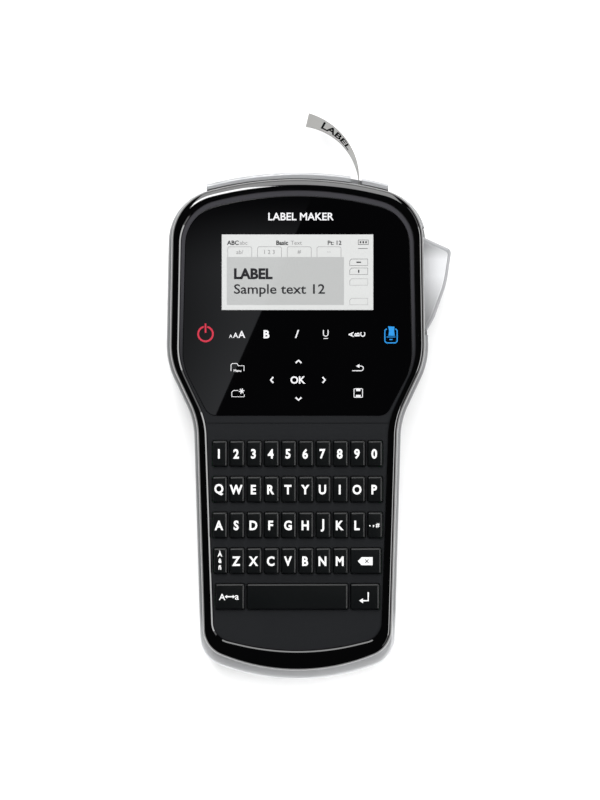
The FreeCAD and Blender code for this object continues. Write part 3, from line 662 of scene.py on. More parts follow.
def face_out(piece: bpy.types.Object) -> None:
    """Merge a piece's doubled points and turn its faces outwards.

    Args:
        piece: the object.
    """
    with editing(piece):
        bpy.ops.mesh.select_all(action="SELECT")
        bpy.ops.mesh.remove_doubles(threshold=WELD)
        bpy.ops.mesh.normals_make_consistent(inside=False)


def add_block(name: str, low: Sequence[float], high: Sequence[float]) -> bpy.types.Object:
    """Cube primitive stretched between two corners, its place in its mesh.

    Args:
        name: name of the object.
        low: corner with the smallest x, y and z.
        high: corner with the largest.

    Returns:
        The object.
    """
    middle = [(a + b) / 2 for a, b in zip(low, high)]
    size = [b - a for a, b in zip(low, high)]
    bpy.ops.mesh.primitive_cube_add(size=1, location=middle, scale=size)
    piece = bpy.context.object
    piece.name = name
    activate(piece)
    bpy.ops.object.transform_apply(location=True, rotation=True, scale=True)
    return piece


def join(name: str, pieces: Sequence[bpy.types.Object]) -> bpy.types.Object:
    """One object of several, each with its own materials kept.

    Args:
        name: name of the joined object.
        pieces: the objects, of which the first takes in the others.

    Returns:
        The joined object.
    """
    activate(pieces[0])
    for piece in pieces[1:]:
        piece.select_set(True)
    if len(pieces) > 1:
        bpy.ops.object.join()
    pieces[0].name = name
    return pieces[0]


def dress(piece: bpy.types.Object, material: bpy.types.Material) -> bpy.types.Object:
    """Give a piece its one material.

    Args:
        piece: the object.
        material: the material.

    Returns:
        The same object.
    """
    piece.data.materials.clear()
    piece.data.materials.append(material)
    return piece


def settle(piece: bpy.types.Object, body: str, stands_for: Iterable[str] = ()) -> None:
    """Hand a finished piece to the frame.

    Args:
        piece: the finished object.
        body: the body that it rides on.
        stands_for: nodes of the frame that it replaces.
    """
    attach(piece, body)
    if stands_for:
        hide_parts(*stands_for)
    log.info("%s: %d faces, rides on %s", piece.name, len(piece.data.polygons), body)


def rounded(corners: Sequence[Corner], steps: int) -> list[tuple[Vector, Vector]]:
    """Points of a closed outline of straight runs and tangent arcs, run counter-clockwise.

    Args:
        corners: x, y and radius of each corner.
        steps: number of chords in each arc.

    Returns:
        Each point with the outline's outward normal there.
    """
    found = []
    for i, (x, y, radius) in enumerate(corners):
        here = Vector((x, y))
        back = (Vector(corners[i - 1][:2]) - here).normalized()
        ahead = (Vector(corners[(i + 1) % len(corners)][:2]) - here).normalized()
        half = back.angle(ahead) / 2
        middle = here + (back + ahead).normalized() * (radius / math.sin(half))
        first = here + back * (radius / math.tan(half)) - middle
        last = here + ahead * (radius / math.tan(half)) - middle
        turn = math.atan2(first.x * last.y - first.y * last.x, first.dot(last))
        for step in range(steps + 1):
            spoke = Matrix.Rotation(turn * step / steps, 2) @ first
            found.append((middle + spoke, spoke.normalized() * math.copysign(1, turn)))
    return found


def box_points(half_x: float, half_y: float, radius: float, steps: int) -> list[Point]:
    """Rectangle about the origin with rounded corners.

    Args:
        half_x: half of its width.
        half_y: half of its height.
        radius: radius of its corners.
        steps: number of chords in each corner.

    Returns:
        The points, counter-clockwise.
    """
    sides = [(-half_x, -half_y), (half_x, -half_y), (half_x, half_y), (-half_x, half_y)]
    return [tuple(point) for point, _ in rounded([(x, y, radius) for x, y in sides], steps)]


def rings(name: str, rows: Sequence[Sequence[Vector]], closed: bool = True) -> bpy.types.Object:
    """Surface through rows of points that run round one after the other.

    Args:
        name: name of the object.
        rows: rings of points, all with the same number of them.
        closed: whether the last row joins the first; if not, the first and last are filled.

    Returns:
        The mesh object, its normals pointing out.
    """
    count = len(rows[0])
    points = [point for row in rows for point in row]
    pairs = list(zip(range(len(rows)), range(1, len(rows))))
    if closed:
        pairs.append((len(rows) - 1, 0))
    faces = [(a * count + i, a * count + (i + 1) % count, b * count + (i + 1) % count, b * count + i)
             for a, b in pairs for i in range(count)]
    if not closed:
        faces += [tuple(range(count)), tuple(range((len(rows) - 1) * count, len(rows) * count))]
    mesh = bpy.data.meshes.new(name)
    mesh.from_pydata(points, [], faces)
    piece = put(name, mesh)
    face_out(piece)
    return piece


# ---------------------------------------------------------------- marks


def arc(centre: Point, radius: float, start: float, end: float, steps: int = 24) -> list[Point]:
    """Points of an arc between two angles in degrees."""
    angles = [math.radians(start + (end - start) * i / steps) for i in range(steps + 1)]
    return [(centre[0] + radius * math.cos(a), centre[1] + radius * math.sin(a)) for a in angles]


@dataclass
class Word:
    """A word in a mark, its sizes in millimetres about the mark's centre."""

    words: str
    height: float                # of a capital
    place: Point = (0.0, 0.0)    # middle of the word, or its left end
    bold: float = 0.0            # how far the strokes are thickened
    slant: float = 0.0           # lean of the letters
    turn: float = 0.0            # about Z, in degrees
    squeeze: float = 1.0         # width of the letters as a share of their usual width
    left: bool = False           # whether the place is the word's left end

    def build(self, centre: Point, level: float) -> bpy.types.Object:
        """Model the word as raised print.

        Args:
            centre: the mark's centre, in metres.
            level: Z of the surface under it.

        Returns:
            The mesh object.
        """
        deselect()
        bpy.ops.object.text_add()
        data = bpy.context.object.data
        height = self.height * MM
        data.body = self.words
        data.size = height / CAP_SHARE
        data.offset = self.bold * MM
        data.shear = self.slant
        data.extrude = PRINT_THICK / 2
        data.resolution_u = 3
        bpy.ops.object.convert(target="MESH")
        piece = bpy.context.object
        xs = [v.co.x for v in piece.data.vertices]
        ys = [v.co.y for v in piece.data.vertices]
        start_x = min(xs) if self.left else (min(xs) + max(xs)) / 2
        middle_y = height / 2 if self.left else (min(ys) + max(ys)) / 2
        x, y = (c + p * MM for c, p in zip(centre, self.place))
        shape = Matrix.Rotation(math.radians(self.turn), 4, "Z") @ Matrix.Diagonal((self.squeeze, 1, 1, 1))
        piece.data.transform(Matrix.Translation((x, y, level + PRINT_THICK / 2)) @ shape
                             @ Matrix.Translation((-start_x, -middle_y, 0)))
        return piece


def drawn(points: Sequence[Point], closed: bool, **settings: object) -> bpy.types.Object:
    """Mesh of a curve through points.

    Args:
        points: path about the mark's own centre, in millimetres.
        closed: whether the path returns to its start.
        settings: attributes of the curve.

    Returns:
        The mesh object.
    """
    data = bpy.data.curves.new("line", "CURVE")
    for key, value in settings.items():
        setattr(data, key, value)
    spline = data.splines.new("POLY")
    spline.points.add(len(points) - 1)
    for knot, (x, y) in zip(spline.points, points):
        knot.co = (x * MM, y * MM, 0, 1)
    spline.use_cyclic_u = closed
    activate(put("line", data))
    bpy.ops.object.convert(target="MESH")
    return bpy.context.object


@dataclass
class Line:
    """A round-ended line in a mark, in millimetres, modelled as a flattened bead."""

    points: list[Point]
    width: float = 0.35
    closed: bool = False

    def build(self, centre: Point, level: float) -> bpy.types.Object:
        """Model the line.

        Args:
            centre: the mark's centre, in metres.
            level: Z of the surface under it.

        Returns:
            The mesh object.
        """
        width = self.width * MM
        piece = drawn(self.points, self.closed, dimensions="3D", bevel_depth=width / 2, bevel_resolution=2,
                      use_fill_caps=True)
        flat = Matrix.Diagonal((1, 1, PRINT_THICK / width, 1))
        piece.data.transform(Matrix.Translation((*centre, level + PRINT_THICK / 2)) @ flat)
        return piece


@dataclass
class Fill:
    """A flat filled shape in a mark, in millimetres."""

    points: list[Point]
    thick: float = PRINT_THICK / MM

    def build(self, centre: Point, level: float) -> bpy.types.Object:
        """Model the shape.

        Args:
            centre: the mark's centre, in metres.
            level: Z of the surface under it.

        Returns:
            The mesh object.
        """
        rise = self.thick * MM / 2
        piece = drawn(self.points, True, dimensions="2D", fill_mode="BOTH", extrude=rise)
        piece.data.transform(Matrix.Translation((*centre, level + rise)))
        return piece


@dataclass
class Mark:
    """A printed symbol: words, lines and filled shapes about one centre, in millimetres."""

    name: str
    centre: Point
    strokes: list[Word | Line | Fill]
    ink: str = "symbol_white"

    def build(self, origin: Point, level: float, palette: Palette) -> bpy.types.Object:
        """Model the mark.

        Args:
            origin: point that the mark's centre is measured from, in metres.
            level: Z of the surface under it.
            palette: the materials.

        Returns:
            One mesh object.
        """
        centre = tuple(o + c * MM for o, c in zip(origin, self.centre))
        return join(self.name, [dress(made.build(centre, level), palette[self.ink]) for made in self.strokes])


# ---------------------------------------------------------------- bezel


@dataclass
class Bezel:
    """Glossy ring round the face: rounded outside, with a fine bright chamfer inside."""

    palette: Palette
    round_out: float = 2.4               # millimetres, as are the sizes below
    top_share: float = 0.7               # how much wider the round is where the ring faces the top
    lip_width: float = 0.55
    lip_drop: float = 0.3
    wall: float = 2.4
    roof: float = 2.6
    arc_steps: int = 20
    round_steps: int = 12
    cut: Point = (-54.0, -47.5)          # X range that the sockets' openings are cut through
    usb: tuple[float, float, float, float] = (52.0, 8.2, 35.65, 3.4)      # y, width, z, height
    jack: tuple[float, float, float] = (64.0, 34.2, 2.05)                 # y, z, radius
    jack_sides: int = 40

    OUTER: ClassVar[list[Corner]] = [(0, -104.0, 80), (37.6, -89.0, 11.5), (40.3, 2.8, 31), (51.2, 26.0, 30),
                                     (50.1, 90.6, 20.5), (0, 103.0, 140)]
    INNER: ClassVar[list[Corner]] = [(0, -92.9, 100), (33.7, -84.8, 8), (36.7, 2.4, 30), (47.6, 25.5, 28),
                                     (46.5, 87.0, 18), (0, 98.3, 130)]

    def ring(self, half: Sequence[Corner], inset: float, level: float,
             top_share: float = 0.0) -> list[Vector]:
        """Ring of points of a mirrored outline, moved inwards and set at a level.

        Args:
            half: corners of the right half, from the foot to the top.
            inset: distance inwards in millimetres.
            level: Z in millimetres.
            top_share: how much more it is moved where it faces the top.

        Returns:
            The points, in metres.
        """
        corners = list(half) + [(-x, y, radius) for x, y, radius in reversed(half) if x > 0]
        flat = [point - normal * inset * (1 + top_share * max(0.0, normal.y) ** 2)
                for point, normal in rounded(corners, self.arc_steps)]
        return [Vector((x, y, level)) * MM for x, y in flat]

    def open_sockets(self, piece: bpy.types.Object) -> None:
        """Cut the two sockets' openings through the left wall.

        Args:
            piece: the bezel.
        """
        near, far = self.cut
        y, width, z, height = self.usb
        usb = add_block("usb_cut", [v * MM for v in (near, y - width / 2, z - height / 2)],
                        [v * MM for v in (far, y + width / 2, z + height / 2)])
        y, z, radius = self.jack
        bpy.ops.mesh.primitive_cylinder_add(vertices=self.jack_sides, radius=radius * MM,
                                            depth=(far - near) * MM, rotation=(0, math.pi / 2, 0),
                                            location=((near + far) / 2 * MM, y * MM, z * MM))
        for cutter in (usb, bpy.context.object):
            modify(piece, "BOOLEAN", operation="DIFFERENCE", solver="EXACT", object=cutter)
            bpy.data.objects.remove(cutter)

    def build(self) -> None:
        """Model the ring from its foot up the outside, over the crest and down the inside."""
        low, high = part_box("front_shell")
        foot, crest = low.z / MM, high.z / MM
        rows = [self.ring(self.OUTER, 0, foot)]
        for step in range(self.round_steps + 1):
            turn = math.pi / 2 * step / self.round_steps
            rows.append(self.ring(self.OUTER, self.round_out * (1 - math.cos(turn)),
                                  crest - self.round_out * (1 - math.sin(turn)), self.top_share))
        rows += [self.ring(half, inset, level) for half, inset, level in (
            (self.INNER, -self.lip_width, crest), (self.INNER, 0, crest - self.lip_drop),
            (self.INNER, 0, crest - self.roof), (self.OUTER, self.wall, crest - self.roof),
            (self.OUTER, self.wall, foot))]
        piece = rings("bezel", rows)
        self.open_sockets(piece)
        smooth(piece, 18)
        settle(dress(piece, self.palette["gloss_black"]), "housing", ["front_shell"])


@dataclass
class LeverFace:
    """Raised face of the cutter lever, which leaves a fine border round it."""

    palette: Palette
    rise: float = 0.3                    # millimetres, as are the sizes below
    chamfer: float = 0.3
    sink: float = 0.2

    OUTLINE: ClassVar[list[Corner]] = [(45.0, 40.0, 2.0), (51.3, 39.9, 1.2), (53.9, 44.0, 20),
                                       (58.8, 57.2, 38), (60.7, 69.9, 1.6), (47.0, 76.2, 1.5),
                                       (45.0, 70.0, 8)]

    def build(self) -> None:
        """Model the face as three rings and a top."""
        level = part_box("cutter_lever")[1].z / MM
        edge = rounded(self.OUTLINE, 8)
        rows = []
        for inset, height in ((0, -self.sink), (0, self.rise - self.chamfer / 2), (self.chamfer, self.rise)):
            rows.append([Vector((*(point - normal * inset), level + height)) * MM for point, normal in edge])
        face = rings("lever_face", rows, closed=False)
        smooth(face, 20)
        settle(dress(face, self.palette["lever"]), "cutter_lever")


# ---------------------------------------------------------------- keyboard


@dataclass
class Keyboard:
    """Forty-two caps, each on its own body, with printed legends."""

    palette: Palette
    flange: float = 0.5 * MM             # the key's flange, which the cap stands inside
    corner: float = 0.55 * MM
    shoulder: float = 0.5 * MM           # fall of the shoulders round the top
    side_margin: float = 0.35 * MM
    right_margin: float = 0.8 * MM
    upper_margin: float = 0.6 * MM
    edge: float = 0.16 * MM
    head_room: float = 0.04 * MM         # kept under the key's full height, for the print
    legend_height: float = 3.5
    legend_bold: float = 0.17
    caps: dict[int, bpy.types.Object] = field(default_factory=dict)

    LEGENDS: ClassVar[dict[str, list[Word | Line | Fill]]] = {
        "point": [Word(". ,", 2.0, (-1.15, -0.3), 0.1), Word("#", 1.7, (1.2, 0), 0.05)],
        "accent": [Word("À", 1.75, (0, 3.0), 0.08), Word("ê", 1.75, (0, 0.15), 0.08),
                   Word("ñ", 1.75, (0, -2.5), 0.08)],
        "shift": [Word("A", 2.5, (-2.9, 0), 0.03), Word("a", 2.6, (3.0, -0.2), 0.03),
                  Line([(-1.2, 0.1), (1.6, 0.1)], 0.5), Fill([(-1.9, 0.1), (-0.9, 0.8), (-0.9, -0.6)]),
                  Fill([(2.3, 0.1), (1.3, 0.8), (1.3, -0.6)])],
        "enter": [Line([(1.5, 1.9), (1.5, -1.5), (-0.8, -1.5)], 0.6),
                  Fill([(-2.1, -1.5), (-0.6, -0.5), (-0.6, -2.5)])],
        "backspace": [Fill([(-3.0, 0), (-1.5, 1.6), (2.9, 1.6), (2.9, -1.6), (-1.5, -1.6)])],
    }
    CROSS: ClassVar[list[Line]] = [Line([(-0.1, -0.7), (1.3, 0.7)], 0.4),
                                   Line([(-0.1, 0.7), (1.3, -0.7)], 0.4)]

    def cap(self, low: Vector, high: Vector) -> bpy.types.Object:
        """Cap with sheer sides, and shoulders that are widest on the right.

        Args:
            low: corner with the smallest x, y and z.
            high: corner with the largest.

        Returns:
            The mesh object.
        """
        top = high.z - self.head_room
        piece = add_block("cap", low, (high.x, high.y, top - self.shoulder))
        corner_x, corner_y = low.x + self.side_margin, low.y + self.side_margin
        width = high.x - low.x - 2 * self.side_margin
        height = high.y - low.y - 2 * self.side_margin
        share_x = 1 - (self.right_margin - self.side_margin) / width
        share_y = 1 - (self.upper_margin - self.side_margin) / height
        with editing(piece):
            pick(Pick.EDGES, is_upright)
            bpy.ops.mesh.bevel(offset=self.corner, segments=3)
            pick(Pick.FACES, is_top)
            bpy.ops.mesh.inset(thickness=self.side_margin, depth=0)
            bpy.ops.transform.translate(value=(0, 0, self.shoulder))
            bpy.ops.transform.resize(value=(share_x, share_y, 1), center_override=(corner_x, corner_y, top))
        modify(piece, "BEVEL", width=self.edge, segments=3, limit_method="ANGLE", harden_normals=False,
               angle_limit=math.radians(25))
        smooth(piece, 35)
        return dress(piece, self.palette["key"])

    def legend(self, key: str, middle: Point, level: float) -> list[bpy.types.Object]:
        """Print the legend of a key; the space bar has none.

        Args:
            key: the key's name.
            middle: middle of its top.
            level: Z of its top.

        Returns:
            The printed marks.
        """
        strokes = self.LEGENDS.get(key, [])
        if len(key) == 1:
            strokes = [Word(key.upper(), self.legend_height, (-0.15, 0), self.legend_bold, squeeze=0.88)]
        marks = [(Mark("legend", (0, 0), strokes, "legend"), level)] if strokes else []
        if key == "backspace":
            marks.append((Mark("cross", (0, 0), self.CROSS, "key"), level + PRINT_THICK / 4))
        return [mark.build(middle, height, self.palette) for mark, height in marks]

    def build(self) -> None:
        """Model each cap size once, copy it to its keys and print the legends."""
        for node in [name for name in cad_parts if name.startswith("key_") and name != "key_mat"]:
            low, high = (Vector(corner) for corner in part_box(node))
            low.y += self.flange
            high.y -= self.flange
            size = round((high.x - low.x) / (0.1 * MM))
            if size not in self.caps:
                self.caps[size] = self.cap(low, high)
                self.caps[size]["low"] = tuple(low)
            model = self.caps[size]
            piece = put("cap", model.data.copy())
            piece.data.transform(Matrix.Translation(low - Vector(model["low"])))
            key = node.removeprefix("key_")
            middle = ((low.x + high.x - self.right_margin + self.side_margin) / 2,
                      (low.y + high.y - self.upper_margin + self.side_margin) / 2)
            made = join("keycap_" + key, [piece, *self.legend(key, middle, high.z - self.head_room)])
            settle(made, node, [node])
        for model in self.caps.values():
            bpy.data.objects.remove(model)


# ---------------------------------------------------------------- window panel


@dataclass
class WindowPanel:
    """Display and printed symbols on the glossy window panel."""

    palette: Palette
    screen_half: Point = (30.3, 15.1)
    screen_rim: float = 0.25 * MM
    screen_rise: float = 0.05 * MM

    field_half: Point = (23.45, 9.6)
    field_place: Point = (-4.85, -3.5)       # from the middle of the screen
    top_line: float = 26.9                   # height of the display's top line of words
    tab_line: float = 23.2                   # height of its row of tabs

    def symbols(self) -> list[Mark]:
        """Draw the panel's symbols.

        Returns:
            The symbols, placed from the middle of the machine.
        """
        star = [Line([(1.45 - 1.1 * math.cos(a), 0.75 - 1.1 * math.sin(a)),
                      (1.45 + 1.1 * math.cos(a), 0.75 + 1.1 * math.sin(a))], 0.42)
                for a in (math.radians(d) for d in (10, 70, 130))]
        tray = [(-1.7, 2.3), (-2.45, 1.6), (-2.45, -2.7), (-1.8, -3.35), (1.8, -3.35), (2.45, -2.7),
                (2.45, 1.6), (1.8, 2.3)]
        page = [(-1.1, -0.5), (-0.75, 1.4), (-1.2, 3.3), (1.4, 3.1), (1.25, 1.5), (1.5, -0.5)]
        folder = [(-2.6, -1.3), (-2.6, 1.2), (-2.1, 1.7), (-0.2, 1.7), (0.3, 0.8), (2.6, 0.8), (2.6, -1.3)]
        shelf = [(0.1, 1.0), (-1.8, 1.0), (-2.5, 0.3), (-2.5, -1.5), (2.5, -1.5), (2.5, -0.6)]
        hook = [(-2.4, -1.1), (1.1, -1.1), *arc((1.1, -0.15), 0.95, -90, 80, 8), (0, 0.8)]
        slots = [[(-0.85, 1.6), (-0.85, 0.75), (0.85, 0.75), (0.85, 1.6)],
                 [(-0.95, -1.5), (-0.95, -0.75), (0.95, -0.75), (0.95, -1.5)]]
        chevron = [(-1.15, -0.5), (0, 0.55), (1.15, -0.5)]
        arrows = {"up": ((0.4, 25.7), chevron), "down": ((0.4, 10.9), [(x, -y) for x, y in chevron]),
                  "left": ((-10.2, 18.4), [(-y, x) for x, y in chevron]),
                  "right": ((10.5, 18.4), [(y, x) for x, y in chevron])}
        return [
            Mark("symbol_power", (-36.8, 36.8), [Line(arc((0, 0), 2.95, 104, 436), 0.8),
                                                 Line([(0, 4.2), (0, 0.5)], 0.75)], "symbol_red"),
            Mark("symbol_size", (-24.2, 36.6), [Word("A", 1.3, (-2.5, -0.65), 0.03),
                                                Word("A", 2.0, (-0.55, -0.3), 0.05),
                                                Word("A", 2.7, (1.9, 0.05), 0.07)]),
            Mark("symbol_bold", (-12.4, 36.7), [Word("B", 3.0, bold=0.16)]),
            Mark("symbol_slanted", (-0.2, 36.8), [Word("I", 3.1, bold=0.05, slant=0.35)]),
            Mark("symbol_underlined", (11.3, 36.9), [Word("U", 2.6, (0, 0.2)),
                                                     Line([(-0.85, -1.9), (0.85, -1.9)], 0.3)]),
            Mark("symbol_upright", (23.8, 36.6), [Word(letter, 1.9, (x, 0), 0.08, turn=90)
                                                  for letter, x in zip("ABC", (-2.4, 0, 2.3))]),
            Mark("symbol_print", (37.4, 36.6), [Line(tray, 0.5), Line([(-0.6, -2.0), (0.6, -2.0)], 0.5),
                                                Line([(-1.8, -1.0), (1.8, -1.0)], 0.3), Fill(page)],
                 "symbol_blue"),
            Mark("symbol_menu", (-24.0, 23.3), [Word("Menu", 0.95, (0, -1.15), 0.04), Line(folder, 0.32)]),
            Mark("symbol_back", (24.3, 23.2), [Line(hook, 0.36),
                                               Fill([(-0.9, 0.8), (0.5, 1.6), (0.5, 0.0)])]),
            Mark("symbol_insert", (-23.8, 13.2), [*star, Line(shelf, 0.32)]),
            Mark("symbol_save", (24.3, 13.2), [Line(box_points(1.7, 1.7, 0.3, 4), 0.34, True),
                                               *(Fill(slot) for slot in slots)]),
            Mark("symbol_ok", (0.2, 18.4), [Word("OK", 2.7, bold=0.12)]),
            *(Mark("symbol_" + way, place, [Line(points, 0.72)]) for way, (place, points) in arrows.items()),
            Mark("panel_words", (1.4, 83.8), [Word("LABEL MAKER", 2.9, bold=0.08)]),
        ]

    def display_marks(self) -> list[Mark]:
        """Draw what the display shows.

        Returns:
            The dark marks and the faint ones, placed from the display's lower left corner.
        """
        tab = [(-4.8, -2.0), (-4.8, 1.6), (-4.3, 2.1), (4.3, 2.1), (4.8, 1.6), (4.8, -2.0)]
        slip = [(-3.6, -1.3), (-3.6, 0.5), (-2.9, 1.3), (3.6, 1.3), (3.6, -1.3)]
        tabs = [Line([(x + 7.2 + 11.9 * i, y + self.tab_line) for x, y in tab], 0.16) for i in range(4)]
        slips = [Line([(x + 54.8, y + height) for x, y in slip], width, True)
                 for height, width in ((19.1, 0.16), (15.5, 0.16), (11.2, 0.14), (3.4, 0.14))]
        battery = [Line([(54.6, 26.2), (54.6, 28.0), (58.6, 28.0), (58.6, 26.2)], 0.25, True),
                   *(Line([(x, 26.7), (x, 27.5)], 0.6) for x in (55.5, 56.6, 57.7))]
        heads = [Word(words, 1.65, (x, self.top_line), bold, left=True)
                 for words, x, bold in (("ABC", 2.1, 0.06), ("Basic", 21.8, 0.07), ("Pt: 12", 42.4, 0.04))]
        tails = [Word(words, 1.6, (x, self.top_line), left=True)
                 for words, x in (("abc", 7.2), ("Text", 27.6))]
        names = [Word(words, 1.6, (x, self.tab_line))
                 for words, x in (("ab/", 7.2), ("1 2 3", 19.1), ("#", 31.0), ("...", 42.9))]
        return [
            Mark("display_dark_marks", (0, 0), [
                *heads, Word("LABEL", 3.9, (4.9, 14.5), 0.24, left=True),
                Word("Sample text 12", 3.7, (4.9, 8.4), 0.06, left=True, squeeze=1.12), *battery, *slips[:2],
                Line([(53.9, 19.1), (55.7, 19.1)], 0.5), Line([(54.8, 14.9), (54.8, 16.1)], 0.5),
                Line([(54.6, 24.6), (58.4, 24.6)], 0.2)], "display_dark"),
            Mark("display_faint_marks", (0, 0), [*tails, *names, *tabs, *slips[2:]], "display_faint"),
        ]

    def screen(self, corner: Point, far_corner: Point, face: float) -> bpy.types.Object:
        """Screen whose face stands a little proud, inside a sloped rim.

        Args:
            corner: its lower left corner.
            far_corner: its upper right corner.
            face: Z of the panel's face.

        Returns:
            The mesh object.
        """
        piece = add_block("display_screen", (*corner, face - self.screen_rim), (*far_corner, face))
        with editing(piece):
            pick(Pick.FACES, is_top)
            bpy.ops.mesh.inset(thickness=self.screen_rim, depth=0)
            bpy.ops.transform.translate(value=(0, 0, self.screen_rise))
        return dress(piece, self.palette["display_rim"])

    def build(self) -> None:
        """Lay the display and the symbols on the panel's face."""
        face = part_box("front_panel")[1].z
        glass_low, glass_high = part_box("display_module")
        middle = ((glass_low.x + glass_high.x) / 2, (glass_low.y + glass_high.y) / 2)
        half = [value * MM for value in self.screen_half]
        corner = (middle[0] - half[0], middle[1] - half[1])
        settle(self.screen(corner, (middle[0] + half[0], middle[1] + half[1]), face), "housing")
        top = face + self.screen_rise
        field_fill = Fill(box_points(*self.field_half, 0.2, 3), PRINT_THICK / 2 / MM)
        shown = Mark("display_field", self.field_place, [field_fill], "display_field")
        settle(shown.build(middle, top, self.palette), "housing")
        for mark in self.display_marks():
            settle(mark.build(corner, top + PRINT_THICK / 4, self.palette), "housing")
        for mark in self.symbols():
            settle(mark.build((0, 0), face, self.palette), "housing")


# ---------------------------------------------------------------- tape


@dataclass
class LabelTape:
    """Printed tape that runs straight out of the casing, then curls over and tilts up."""

    palette: Palette
    curl_turn: float = math.radians(78.0)
    tilt: float = math.radians(31.0)
    curl_radius: float = 26.5 * MM
    straight_end: float = 98.0 * MM
    run: float = 24.9 * MM               # X of the tape's middle plane
    thick: float = 0.2 * MM
    width: float = 12.0 * MM
    steps: int = 96
    rows: int = 10
    word: Word = field(default_factory=lambda: Word("LABEL", 7.0, bold=0.3))
    word_cuts: int = 4                   # cuts that let the print bend with the tape
    word_length: float = 15.0 * MM
    word_centre: float = 22.1 * MM       # along the curl, from where it starts

    def __post_init__(self) -> None:
        """Take the start and the middle level from the frame."""
        low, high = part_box("label_tape")
        self.start_y = low.y
        self.middle_z = low.z + self.width / 2

    def point(self, along: float, across: float, proud: float) -> Vector:
        """Place of a point of the tape.

        Args:
            along: distance along the tape from the start of its curl; less than 0 on the straight run.
            across: distance from the tape's middle line, positive upwards.
            proud: distance off the tape's middle plane, positive on the printed face.

        Returns:
            The point.
        """
        share = max(0.0, along / (self.curl_radius * self.curl_turn))
        angle = self.curl_turn * share
        tilt = self.tilt * share
        outward = Vector((math.cos(angle), math.sin(angle), 0))
        centre = Vector((self.run - self.curl_radius, self.straight_end + min(0.0, along), self.middle_z))
        level = Vector((0, 0, math.cos(tilt))) - outward * math.sin(tilt)
        normal = outward * math.cos(tilt) + Vector((0, 0, math.sin(tilt)))
        return centre + outward * self.curl_radius + level * across + normal * proud

    def ribbon(self) -> bpy.types.Object:
        """Model the tape as a grid that is bent to its run and given its thickness.

        Returns:
            The mesh object.
        """
        deselect()
        bpy.ops.mesh.primitive_grid_add(x_subdivisions=self.steps, y_subdivisions=self.rows, size=1)
        piece = bpy.context.object
        piece.name = "label_ribbon"
        first = self.start_y - self.straight_end
        length = self.curl_radius * self.curl_turn - first
        for vertex in piece.data.vertices:
            x, y = vertex.co.x + 0.5, vertex.co.y
            vertex.co = self.point(first + length * x, -y * self.width, 0)
        modify(piece, "SOLIDIFY", thickness=self.thick, offset=0)
        face_out(piece)
        smooth(piece, 30)
        return dress(piece, self.palette["tape"])

    def print(self) -> bpy.types.Object:
        """Model the word, bent round the tape.

        Returns:
            The mesh object.
        """
        piece = self.word.build((0, 0), 0)
        piece.name = "label_print"
        with editing(piece):
            bpy.ops.mesh.select_all(action="SELECT")
            bpy.ops.mesh.quads_convert_to_tris()
            bpy.ops.mesh.subdivide(number_cuts=self.word_cuts)
        span = piece.dimensions.x
        for vertex in piece.data.vertices:
            x, y, z = vertex.co
            vertex.co = self.point(self.word_centre - x * self.word_length / span, -y, self.thick / 2 + z)
        return dress(piece, self.palette["tape_ink"])

    def build(self) -> None:
        """Model the ribbon and its printed word."""
        settle(self.ribbon(), "housing", ["label_tape"])
        settle(self.print(), "housing")


# ---------------------------------------------------------------- studio


@dataclass
class Softbox:
    """Rectangular studio light aimed at the machine."""

    name: str
    bearing: float               # degrees from +X towards +Y
    lean: float                  # degrees from straight up
    distance: float
    size: Point
    brightness: float            # light that each square metre sends out, per steradian
    mirrored: bool = True        # whether polished surfaces show it

    def build(self, aim: Vector) -> None:
        """Hang the light and point it at the machine.

        Args:
            aim: point that it faces.
        """
        bearing, lean = math.radians(self.bearing), math.radians(self.lean)
        way = Vector((math.sin(lean) * math.cos(bearing), math.sin(lean) * math.sin(bearing), math.cos(lean)))
        data = bpy.data.lights.new(self.name, "AREA")
        data.shape = "RECTANGLE"
        data.size, data.size_y = self.size
        data.energy = self.brightness * math.pi * self.size[0] * self.size[1]
        lamp = put(self.name, data)
        lamp.location = aim + way * self.distance
        lamp.rotation_euler = (-way).to_track_quat("-Z", "Y").to_euler()
        lamp.visible_glossy = self.mirrored


